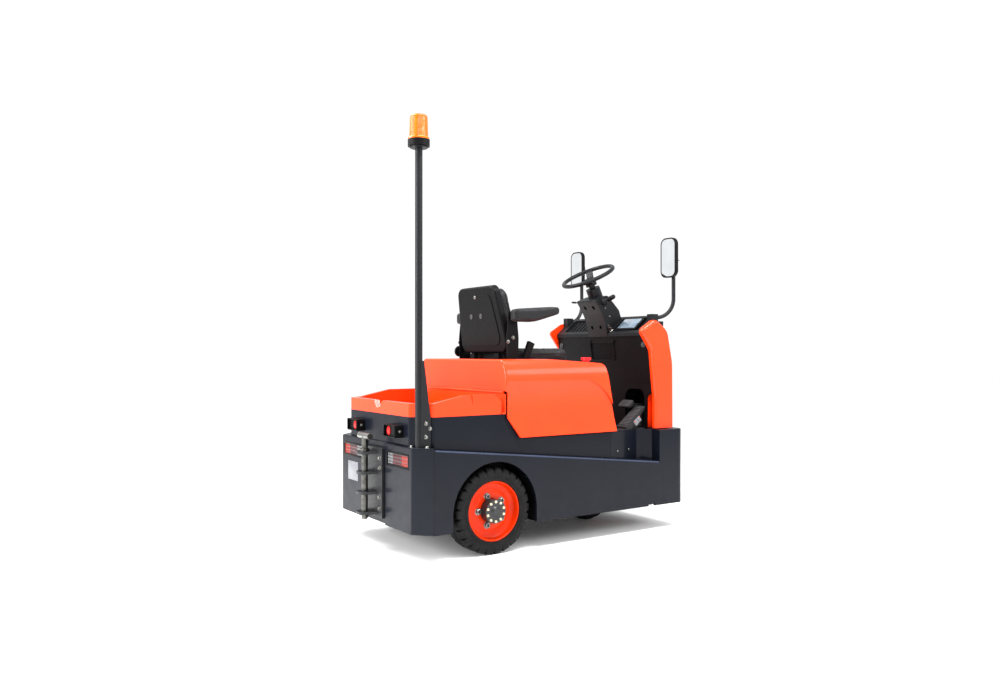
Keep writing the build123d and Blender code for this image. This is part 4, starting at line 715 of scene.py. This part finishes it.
# recline knob on the left, slide bar under the front
seatTrim = dict(knob=(0.712, 0.266, 1.075), knobSize=0.034, barRadius=0.0055,
                bar=[(1.150, -0.13, 0.975), (1.196, -0.10, 0.969), (1.196, 0.10, 0.969), (1.150, 0.13, 0.975)])
size = seatTrim["knobSize"]
knobProfile = [(0, 0), (0.4 * size, 0), (0.4 * size, 0.006), (size, 0.008), (size, 0.022), (0.85 * size, 0.027),
               (0, 0.028)]
newTurned("reclineKnob", knobProfile, [aimed(at(*seatTrim["knob"]), leftward)], 12, "blackPlastic", "seat_hood", 20)
bm = bmesh.new()
addTube(bm, [at(*point) for point in seatTrim["bar"]], seatTrim["barRadius"], 12)
newPiece("slideBar", bm, "frameBlack", "seat_hood")
print("seat dressed")


# controls

kneeLean = atan2(0.044, 0.300)
kneeFrame = Matrix.Translation(at(1.604, 0, 1.170)) @ Matrix((
    (0, -sin(kneeLean), -cos(kneeLean), 0), (-1, 0, 0, 0),
    (0, cos(kneeLean), -sin(kneeLean), 0), (0, 0, 0, 1)))  # x to the right, y up the panel, z to the driver
pocket = dict(middle=(0.020, -0.096), width=0.226, height=0.118, cord=0.0009, step=0.013, spread=1.5,
              bends=12, bulge=0.009, rail=0.0045, corner=0.016)


def addNet(bm, look):  # knotted net in a round frame, bulging a little
    wide, tall = look["width"] / 2, look["height"] / 2
    across, up = look["middle"]
    count = int((wide + tall) / look["step"])
    for lean in (-1, 1):
        for index in range(-count, count + 1):
            start = index * look["step"] * look["spread"]
            points = []
            for step in range(look["bends"] + 1):
                y = -tall + 2 * tall * step / look["bends"]
                x = start + lean * y
                if abs(x) <= wide:
                    bulge = look["bulge"] * (1 - (x / wide) ** 2) * (1 - (y / tall) ** 2)
                    points.append(kneeFrame @ Vector((across + x, up + y, bulge - 0.001)))
            if len(points) > 1:
                addTube(bm, points, look["cord"], 5)


bm = bmesh.new()
addNet(bm, pocket)
newPiece("pocketNet", bm, "controlGrey", crease=60)
bm = bmesh.new()
wide, tall = pocket["width"] / 2, pocket["height"] / 2
edge = roundedOutline([(-wide, -tall), (wide, -tall), (wide, tall), (-wide, tall)], pocket["corner"])
across, up = pocket["middle"]
addTube(bm, [kneeFrame @ Vector((across + p.x, up + p.y, 0.0005)) for p in edge], pocket["rail"], 8, closed=True)
for x in (-wide, wide):
    addLathe(bm, [(0, 0), (0.011, 0), (0.011, 0.005), (0.007, 0.009), (0, 0.0095)],
             kneeFrame @ Matrix.Translation((across + x, up + tall + 0.004, 0.0)), 20)
newPiece("pocketFrame", bm, "blackPlastic")

dashSlope = atan2(0.108, 0.130)
dashFrame = Matrix.Translation(at(1.596, 0, 1.192)) @ Matrix((
    (0, cos(dashSlope), -sin(dashSlope), 0), (-1, 0, 0, 0),
    (0, sin(dashSlope), cos(dashSlope), 0), (0, 0, 0, 1)))  # x to the right, y up the slope, z off the face
display = dict(middle=(0.235, 0.084), width=0.178, height=0.112, back=-0.0135, lift=0.007, frame=0.011,
               glass=(-0.002, 0.0012))  # back and lift off the sloping face, glass off the case
across, up = display["middle"]
wide, tall = display["width"] / 2, display["height"] / 2
bm = bmesh.new()
lift = display["lift"]
addBox(bm, (across - wide, up - tall, display["back"]), (across + wide, up + tall, lift), 0.006, 3, dashFrame)
newPiece("displayCase", bm, "blackPlastic")
bm = bmesh.new()
edge, (low, high) = display["frame"], display["glass"]
addBox(bm, (across - wide + edge, up - tall + edge, lift + low),
       (across + wide - edge, up + tall - edge, lift + high), 0.001, 2, dashFrame)
# display glass tinted light blue-grey as painted reflection
newPiece("displayGlass", bm, "screenReflectionPaint")

# slotted tray on the left half; low and high ends of a rib as (up the slope, off the face)
trayRibs = dict(count=7, start=-0.350, end=-0.140, half=0.004, low=(0.030, -0.0138), high=(0.138, -0.0085))
half, low, high = trayRibs["half"], trayRibs["low"], trayRibs["high"]
bm = bmesh.new()
for index in range(trayRibs["count"]):
    x = trayRibs["start"] + (trayRibs["end"] - trayRibs["start"]) * index / (trayRibs["count"] - 1)
    addBox(bm, (x - half, *low), (x + half, *high), 0.0015, 2, dashFrame)
newPiece("dashTrayRibs", bm, "blackPlastic")

# key with its ring on the right of the column's foot
keyLook = dict(place=(0.112, 0.022, -0.001), blade=((-0.009, -0.0015, 0.008), (0.009, 0.0015, 0.030)), ring=0.010,
               ringAt=0.036, ringSide=0.003, ringSteps=20, wire=0.001)
bm = bmesh.new()
lockFrame = dashFrame @ Matrix.Translation(keyLook["place"])
addLathe(bm, [(0, 0), (0.014, 0), (0.014, 0.005), (0.011, 0.008), (0, 0.008)], lockFrame, 24)
addBox(bm, *keyLook["blade"], 0.001, 2, lockFrame)
size, up, across, steps = keyLook["ring"], keyLook["ringAt"], keyLook["ringSide"], keyLook["ringSteps"]
turns = [2 * pi * step / steps for step in range(steps)]
loop = [Vector((size * cos(t), across, up + size * sin(t))) for t in turns]
addTube(bm, [lockFrame @ point for point in loop], keyLook["wire"], 6, closed=True)
newPiece("ignitionKey", bm, "zinc")

# steering wheel: cap with a ring in the hub, ribs on the pads of two spokes
steerTrim = dict(place=(1.512, 0, 1.56), tilt=26, hubTop=-0.025, capSize=0.033, ribs=6, ribFrom=0.075, ribTo=0.125,
                 spokes=(45, 225), spokeFrom=0.037, spokeLong=0.130, spokeRise=0.045, spokeTop=0.006,
                 rib=((-0.0026, -0.017, -0.001), (0.0026, 0.017, 0.0028)))
steerFrame = Matrix.Translation(at(*steerTrim["place"])) @ Matrix.Rotation(-radians(steerTrim["tilt"]), 4, "Y")
size = steerTrim["capSize"]
capProfile = [(0, 0), (size, 0), (size, 0.004), (0.86 * size, 0.008), (0.8 * size, 0.0068), (0.5 * size, 0.0105),
              (0, 0.012)]
newTurned("hornCap", capProfile, [steerFrame @ Matrix.Translation((0, 0, steerTrim["hubTop"]))], 40, "blackPlastic",
          "steering_wheel")
bm = bmesh.new()
rise, long = steerTrim["spokeRise"], steerTrim["spokeLong"]
for spoke in steerTrim["spokes"]:
    spokeFrame = steerFrame @ Matrix.Rotation(radians(spoke), 4, "Z")
    for index in range(steerTrim["ribs"]):
        r = steerTrim["ribFrom"] + (steerTrim["ribTo"] - steerTrim["ribFrom"]) * index / (steerTrim["ribs"] - 1)
        z = -rise + steerTrim["spokeTop"] + rise * (r - steerTrim["spokeFrom"]) / long
        ribFrame = spokeFrame @ Matrix.Translation((r, 0, z)) @ Matrix.Rotation(-atan2(rise, long), 4, "Y")
        addBox(bm, *steerTrim["rib"], 0.0009, 2, ribFrame)
newPiece("spokeRibs", bm, "greyPlastic", "steering_wheel")

# column levers: direction selector with a thick grip on the right, a thin stalk with a bead on the left
leverRoot = (1.564, 0.095, 1.392)
leverBase = ((-0.024, -0.004, -0.020), (0.024, 0.006, 0.020))
levers = {
    "right": dict(side=-1, way=(0.030, 0.150, 0.060), reach=0.092, foot=0.024, neck=0.008, grip=0.0145,
                  gripFrom=0.30),
    "left": dict(side=1, way=(-0.030, 0.110, 0.010), reach=0.110, foot=0.016, neck=0.0045, grip=0.0065,
                 gripFrom=0.70),
}
bm = bmesh.new()
for look in levers.values():
    root = at(leverRoot[0], look["side"] * leverRoot[1], leverRoot[2])
    way = Vector((look["way"][0], look["side"] * look["way"][1], look["way"][2]))
    foot, neck, grip, reach = look["foot"], look["neck"], look["grip"], look["reach"]
    start = reach * look["gripFrom"]
    leverProfile = [(0, 0), (foot, 0), (foot, 0.006), (0.8 * foot, 0.012), (0.5 * foot + neck / 2, 0.018),
                    (neck, 0.026), (neck, max(start, 0.028)), (grip, start + 0.008), (grip * 1.06, reach * 0.7),
                    (grip, reach - 0.008), (0.7 * grip, reach - 0.002), (0, reach)]
    addLathe(bm, leverProfile, aimed(root, way), 28)
    addBox(bm, *leverBase, 0.004, 2, Matrix.Translation(root))
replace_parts(newPiece("columnLevers", bm, "controlGrey"), "column_levers")

# pedals: ribbed rubbers
pedalSlope = atan2(0.122, 0.152)
padRib = dict(share=0.28, sunk=0.001, proud=0.003)  # half width as a share of the pitch, then metres
pads = {
    "brakeRibs": dict(frame=Matrix.Translation(at(1.590, -0.277, 0.746)) @ Matrix.Rotation(radians(-40), 4, "Y"),
                      face=0.007, long=0.046, wide=0.088, ribs=6),
    "acceleratorRibs": dict(frame=Matrix.Translation(at(1.554, -0.3575, 0.677)) @
                            Matrix.Rotation(-pedalSlope, 4, "Y"),
                            face=0.0005, long=0.150, wide=0.070, ribs=13),
}
for name, pad in pads.items():
    bm = bmesh.new()
    side, half = pad["wide"] / 2, padRib["share"] * pad["long"] / pad["ribs"]
    low, high = pad["face"] - padRib["sunk"], pad["face"] + padRib["proud"]
    for index in range(pad["ribs"]):
        x = pad["long"] * (index / (pad["ribs"] - 1) - 0.5)
        addBox(bm, (x - half, -side, low), (x + half, side, high), 0.001, 2, pad["frame"])
    newPiece(name, bm, "greyPlastic", slot="pedal_rubber")

# turn fasteners at the knee panel's upper corners, and the accelerator's sensor box
kneeKnobs = dict(across=0.405, down=-0.056, size=0.017, sink=-0.0005)
size = kneeKnobs["size"]
knobProfile = [(0, 0), (size, 0), (size, 0.004), (0.8 * size, 0.007), (0.55 * size, 0.004), (0.5 * size, 0.009),
               (0.3 * size, 0.012), (0, 0.0125)]
knobPlaces = [(side * kneeKnobs["across"], kneeKnobs["down"], kneeKnobs["sink"]) for side in (-1, 1)]
knobFrames = [kneeFrame @ Matrix.Translation(place) for place in knobPlaces]
newTurned("kneeKnobs", knobProfile, knobFrames, 28, "greyPlastic")
sensor = dict(place=(1.566, -0.4035, 0.650), size=(0.058, 0.006, 0.034),
              plug=((0.006, -0.007, -0.012), (0.024, -0.002, 0.012)),
              screws=((-0.021, 0.010), (0.026, 0.010)), screwSize=(0.008, 0.003))
sensorFrame = Matrix.Translation(at(*sensor["place"])) @ Matrix.Rotation(-pedalSlope, 4, "Y")
bm = bmesh.new()
half = Vector(sensor["size"]) / 2
addBox(bm, -half, half, 0.0015, 2, sensorFrame)
addBox(bm, *sensor["plug"], 0.0012, 2, sensorFrame)
newPiece("pedalSensor", bm, "plateGrey")
bm = bmesh.new()
for x, z in sensor["screws"]:
    addScrew(bm, sensorFrame @ Vector((x, -half.y, z)), rightward, *sensor["screwSize"])
newPiece("sensorScrews", bm, "buttonRed")

# rubber mat on the cab floor, cut to the slanting sides
cabMat = dict(low=0.6002, high=0.6032, edge=0.001, radius=0.02, steps=4, outline=[
    (1.345, -0.432), (1.560, -0.388), (1.630, -0.424), (1.630, 0.424), (1.560, 0.388), (1.345, 0.432)])


def newMat(name, look, finish):
    bm = bmesh.new()
    layers = [(look["low"], 0), (look["high"] - look["edge"], 0), (look["high"], 0.001)]
    outline = roundedOutline(look["outline"], look["radius"], look["steps"])
    addSlab(bm, outline, layers, Matrix.Translation((rear, 0, 0)))
    newPiece(name, bm, finish)


newMat("cabMat", cabMat, "floorMat")
print("controls dressed")


# outside trim

# wheel wells: dark liner over the tyre and an inner wall, which keep daylight out of the arches
wheelWell = dict(x=0.458, z=0.23, radius=0.272, sheet=0.003, inner=0.333, outer=0.5015, low=0.152, steps=48)


def addPrism(bm, outline, low, high, sign):  # outline of (station, height), stretched across the tractor
    rings = [[bm.verts.new(at(x, sign * y, z)) for x, z in outline] for y in (low, high)]
    addBand(bm, *rings)
    for ring in rings:
        bm.faces.new(ring)


def newSidePlates(name, look, finish):
    bm = bmesh.new()
    for sign in (-1, 1):
        addPrism(bm, look["outline"], look["inner"], look["outer"], sign)
    newPiece(name, bm, finish)


def wellArc(look, radius):
    start = asin((look["low"] - look["z"]) / radius)
    turns = [start + (pi - 2 * start) * step / look["steps"] for step in range(look["steps"] + 1)]
    return [(look["x"] + radius * cos(t), look["z"] + radius * sin(t)) for t in turns]


radius, sheet = wheelWell["radius"], wheelWell["sheet"]
for side, sign in (("Left", 1), ("Right", -1)):
    bm = bmesh.new()
    liner = wellArc(wheelWell, radius) + wellArc(wheelWell, radius + sheet)[::-1]
    addPrism(bm, liner, wheelWell["inner"], wheelWell["outer"], sign)
    addPrism(bm, wellArc(wheelWell, radius), wheelWell["inner"], wheelWell["inner"] + sheet, sign)
    newPiece("wheelWell" + side, bm, "blackPlastic")

# black flange round each tail lamp
lampFrame = dict(outer=((0.153, 0.470), (0.411, 0.551)), inner=((0.165, 0.482), (0.399, 0.539)),
                 stations=(-0.0015, 0.006))
bm = bmesh.new()
(outLeft, outLow), (outRight, outHigh) = lampFrame["outer"]
(inLeft, inLow), (inRight, inHigh) = lampFrame["inner"]
back, front = lampFrame["stations"]
for sign in (-1, 1):
    for left, low, right, high in ((outLeft, outLow, outRight, inLow), (outLeft, inHigh, outRight, outHigh),
                                   (outLeft, inLow, inLeft, inHigh), (inRight, inLow, outRight, inHigh)):
        near, far = sorted((sign * left, sign * right))
        addBox(bm, at(back, near, low), at(front, far, high), 0.0012)
newPiece("lampFrames", bm, "blackPlastic")

# painted highlight: a light blue-grey strip along the rounded top edge of each skirt, standing in for the sky light
# that edge catches
paintedSillHighlight = dict(start=(0.092, 0.5763), end=(1.634, 0.4104), y=0.5142, drop=0.0056, radius=0.0061)
bm = bmesh.new()
for sign in (-1, 1):
    addTube(bm, [at(x, sign * paintedSillHighlight["y"], z - paintedSillHighlight["drop"]) for x, z in (paintedSillHighlight["start"], paintedSillHighlight["end"])],
            paintedSillHighlight["radius"], 16)
newPiece("paintedSillHighlights", bm, "sillHighlightPaint", crease=60)

# side plates that carry the body's flank up under the hood's slanting edge
seamPlate = dict(outline=[(0.5365, 0.7365), (0.590, 0.7365), (0.690, 0.606), (0.690, 0.6005), (0.6175, 0.6005)],
                 inner=0.4535, outer=0.4592)
newSidePlates("seamPlates", seamPlate, "darkBody")

# backing plates behind the notches in the skirts' foot
notchPlate = dict(outline=[(1.50, 0.152), (1.63, 0.152), (1.63, 0.24), (1.50, 0.24)], inner=0.492, outer=0.5005)
newSidePlates("notchPlates", notchPlate, "blackPlastic")

# dark box behind the pedal arch, with the cover's orange cheek beside it
pedalBox = dict(rear=1.6595, front=1.776, right=-0.388, left=-0.194, low=0.6035, high=0.850, sheet=0.003)
cheek = dict(outer=-0.432, top=0.826, ledge=(0.822, 0.828), sheet=0.005, gap=0.001)
back, front, right, left, low, high, sheet = pedalBox.values()
bm = bmesh.new()
walls = [((back, left, low), (front, left + sheet, high)),
         ((back, right, low), (front, right + sheet, high)),
         ((front, right, low), (front + sheet, left + sheet, high)),
         ((back, right, high), (front + sheet, left + sheet, high + sheet))]
for start, end in walls:
    addBox(bm, at(*start), at(*end))
newPiece("pedalBox", bm, "blackPlastic")
bm = bmesh.new()
edge = right - cheek["gap"]
addBox(bm, at(back, edge - cheek["sheet"], low + cheek["gap"]), at(front, edge, cheek["top"]), 0.002, 2)
addBox(bm, at(back, cheek["outer"], cheek["ledge"][0]), at(front, edge, cheek["ledge"][1]), 0.002, 2)
newPiece("pedalBoxCheek", bm, "orangeCover")

# shrouds round the two push buttons at the rear, and the oval buttons sunk in them
shroud = dict(inner=0.172, outer=0.303, low=0.625, high=0.692, rear=-0.029, base=-0.0138, wall=0.005,
              button=(0.212, 0.6585), across=0.036, tall=0.047, lift=0.007, clear=0.0002,
              corner=0.008, innerCorner=0.005, steps=5, lip=0.0015)
look = shroud
wide, tall, wall = (look["outer"] - look["inner"]) / 2, (look["high"] - look["low"]) / 2, look["wall"]
middle = Vector(((look["inner"] + look["outer"]) / 2, (look["low"] + look["high"]) / 2))
corners = [(-wide, -tall), (wide, -tall), (wide, tall), (-wide, tall)]
outside = roundedOutline(corners, look["corner"], look["steps"])
corners = [(x - copysign(wall, x), y - copysign(wall, y)) for x, y in corners]
inside = roundedOutline(corners, look["innerCorner"], look["steps"])
size, lift = look["tall"] / 2, look["lift"]
squeeze = Matrix.Diagonal((1, look["across"] / look["tall"], 1, 1))
bm, ovals = bmesh.new(), []
for sign in (-1, 1):
    turn = Matrix(((0, 0, -1, rear), (sign, 0, 0, sign * middle.x), (0, 1, 0, middle.y), (0, 0, 0, 1)))
    rings = []
    for outline, depth in ((outside, look["base"]), (outside, look["rear"] + look["lip"]), (inside, look["rear"]),
                           (inside, look["base"])):
        rings.append([bm.verts.new(turn @ Vector((p.x, p.y, -depth))) for p in outline])
    for low, high in zip(rings, rings[1:] + rings[:1]):
        addBand(bm, low, high)
    y, z = look["button"]
    place = Matrix.Translation(at(look["base"] - look["clear"], sign * y, z))
    ovals.append(place @ Matrix.Rotation(radians(-90), 4, "Y") @ squeeze)
newPiece("switchShrouds", bm, "blackPlastic", crease=30)
ovalProfile = [(0, 0), (size, 0), (size, 0.45 * lift), (0.86 * size, 0.85 * lift), (0, lift)]
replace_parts(newTurned("ovalButtons", ovalProfile, ovals, 40, "buttonRed", "chassis", 40), "inching_buttons")

# dark maroon sheet on the tray floor: painted shade for the shadow that lies in the tray
trayShadeSheet = dict(low=0.7462, high=0.7482, edge=0.0008, radius=0.02, steps=5, outline=[
    (0.066, -0.336), (0.146, -0.414), (0.514, -0.414), (0.514, 0.414), (0.146, 0.414), (0.066, 0.336)])
newMat("trayShadeSheet", trayShadeSheet, "trayShadeSheet")

# sleeve on the tow pin's handle, turned down at the ends
towSleeve = dict(x=-0.056, z=0.616, half=0.0668, radius=0.0164, turned=0.003)
size, half, turned = towSleeve["radius"], towSleeve["half"], towSleeve["turned"]
sleeveProfile = [(0, -half), (size - turned, -half), (size, -half + turned), (size, -0.021), (size, 0.021),
                 (size, half - turned), (size - turned, half), (0, half)]
newTurned("towSleeve", sleeveProfile, [aimed(at(towSleeve["x"], 0, towSleeve["z"]), leftward)], 40, "zinc", "tow_pin")

# blank plate at the rear left
plate = dict(low=(-0.0016, 0.212, 0.336), high=(0.0006, 0.348, 0.443), rivets=((0.219, 0.341), (0.343, 0.436)))
bm = bmesh.new()
addBox(bm, at(*plate["low"]), at(*plate["high"]), 0.0008, 2)
rivetProfile = [(0, 0), (0.0028, 0), (0.0024, 0.0012), (0, 0.0015)]
for y in plate["rivets"][0]:
    for z in plate["rivets"][1]:
        addLathe(bm, rivetProfile, aimed(at(plate["low"][0], y, z), backward), 14)
newPiece("rearPlate", bm, "plateGrey")

# headlamp rims
lampRim = dict(x=1.8245, z=0.71, y=0.28, radius=0.055)
size = lampRim["radius"]
lampRimProfile = [(size, 0), (size + 0.008, 0), (size + 0.007, 0.009), (size + 0.003, 0.0125), (size + 0.0004, 0.011)]
lampPlaces = [at(lampRim["x"], side * lampRim["y"], lampRim["z"]) for side in (-1, 1)]
newTurned("headlampRims", lampRimProfile, [aimed(place, forward) for place in lampPlaces], 64, "zinc", closed=True)

# wing bolts behind the mirrors
wingBolt = dict(place=(1.823, 0.463, 1.640), wing=(0.012, 0.008, 0.002), low=0.008, high=0.024, splay=18)
x, y, z = wingBolt["place"]
reach, half, thin = wingBolt["wing"]
bm = bmesh.new()
for side in (-1, 1):
    wingFrame = aimed(at(x, side * y, z), (0, side, 0))
    addLathe(bm, [(0, 0), (0.010, 0), (0.010, 0.006), (0.006, 0.009), (0.006, 0.016), (0, 0.017)], wingFrame, 18)
    for turn in (-1, 1):
        tilted = wingFrame @ Matrix.Rotation(radians(turn * wingBolt["splay"]), 4, "Y")
        low, high = (turn * reach - half, -thin, wingBolt["low"]), (turn * reach + half, thin, wingBolt["high"])
        addBox(bm, low, high, 0.0018, 2, tilted)
newPiece("mirrorWingBolts", bm, "blackPlastic")

# beacon: ribbed dome on a flange
beacon = dict(place=at(0.045, -0.43, 2.147), flange=0.055, flangeHeight=0.012, foot=0.049, top=0.046, height=0.1268,
              crown=0.016, chamfer=0.003, ribs=15, ribDepth=0.0007, ribSteps=4, crownSteps=8)


def beaconProfile(look):
    profile = [(0, 0), (look["flange"], 0), (look["flange"], 0.7 * look["flangeHeight"]),
               (look["flange"] - look["chamfer"], look["flangeHeight"]), (look["foot"], look["flangeHeight"])]
    span = look["height"] - look["crown"] - look["flangeHeight"]
    steps = look["ribs"] * look["ribSteps"]
    for step in range(steps + 1):
        share = step / steps
        rib = look["ribDepth"] * (1 - cos(2 * pi * look["ribs"] * share))
        radius = look["foot"] + (look["top"] - look["foot"]) * share - rib
        profile.append((radius, look["flangeHeight"] + span * share))
    for step in range(1, look["crownSteps"] + 1):
        turn = pi / 2 * step / look["crownSteps"]
        profile.append((look["top"] - look["crown"] * (1 - cos(turn)),
                        look["height"] - look["crown"] * (1 - sin(turn))))
    return profile + [(0, look["height"])]


domeFrame = Matrix.Translation(beacon["place"])
dome = newTurned("beaconDome", beaconProfile(beacon), [domeFrame], 64, "beaconAmber", "chassis", 50)
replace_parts(dome, "beacon_lens")
print("trim set")


# studio

studio = dict(floorSize=80, floorShade=(252, 252, 252), skyStrength=1.04)


def makeStudio(look):
    bm = bmesh.new()
    bmesh.ops.create_grid(bm, x_segments=4, y_segments=4, size=look["floorSize"] / 2)
    mesh = bpy.data.meshes.new("floor")
    bm.to_mesh(mesh)
    bm.free()
    floor = bpy.data.objects.new("floor", mesh)
    scene.collection.objects.link(floor)
    mat, tree, shader, coords = newMaterial("floorWhite")
    shade = addMix(tree, addNoise(tree, coords, 3, 4), tint(*look["floorShade"]), tint(254, 254, 254))
    tree.links.new(shade, shader.inputs["Base Color"])
    setSockets(shader, {"Roughness": 0.9, "Specular IOR Level": 0.1})
    mesh.materials.append(mat)
    world = bpy.data.worlds.new("studioSky")
    world.use_nodes = True
    setSockets(world.node_tree.nodes["Background"], {"Color": (1, 1, 1, 1), "Strength": look["skyStrength"]})
    scene.world = world


# softboxes: place, point aimed at, size, power in watts
softboxes = {
    "overheadLeft": ((-2.4, 1.8, 4.6), (0.0, 0.0, 0.6), (3.0, 3.0), 330),
    "sideRight": ((0.6, -5.4, 3.0), (0.1, 0.0, 0.9), (4.0, 2.5), 20),
    "rearWall": ((-6.2, 0.6, 2.2), (-0.4, 0.0, 0.8), (3.0, 2.4), 400),
    "crownCard": ((3.2, -4.9, 3.5), (0.1, -0.45, 0.85), (5.2, 1.5), 150),
    "edgeStrip": ((0.0, -1.9, 4.6), (0.0, -0.4, 0.5), (4.4, 0.8), 320),
}


def addSoftbox(name, place, aim, size, power):
    light = bpy.data.lights.new(name, "AREA")
    light.shape = "RECTANGLE"
    light.size, light.size_y = size
    light.energy = power
    lamp = bpy.data.objects.new(name, light)
    lamp.location = place
    lamp.rotation_euler = (Vector(aim) - Vector(place)).to_track_quat("-Z", "Y").to_euler()
    scene.collection.objects.link(lamp)


photoCamera = dict(place=(-2.8462, -4.2001, 1.0704), yaw=33.66, pitch=0.136, lens=30.19, sensor=36.0)


def addCamera(look):
    data = bpy.data.cameras.new("photoCamera")
    data.lens = look["lens"]
    data.sensor_width = look["sensor"]
    camera = bpy.data.objects.new("photoCamera", data)
    camera.location = look["place"]
    camera.rotation_euler = (radians(90 + look["pitch"]), 0, radians(-look["yaw"]))
    scene.collection.objects.link(camera)
    scene.camera = camera


makeStudio(studio)
for name, setting in softboxes.items():
    addSoftbox(name, *setting)
addCamera(photoCamera)
scene.view_settings.view_transform = "Standard"
print("studio and camera set")
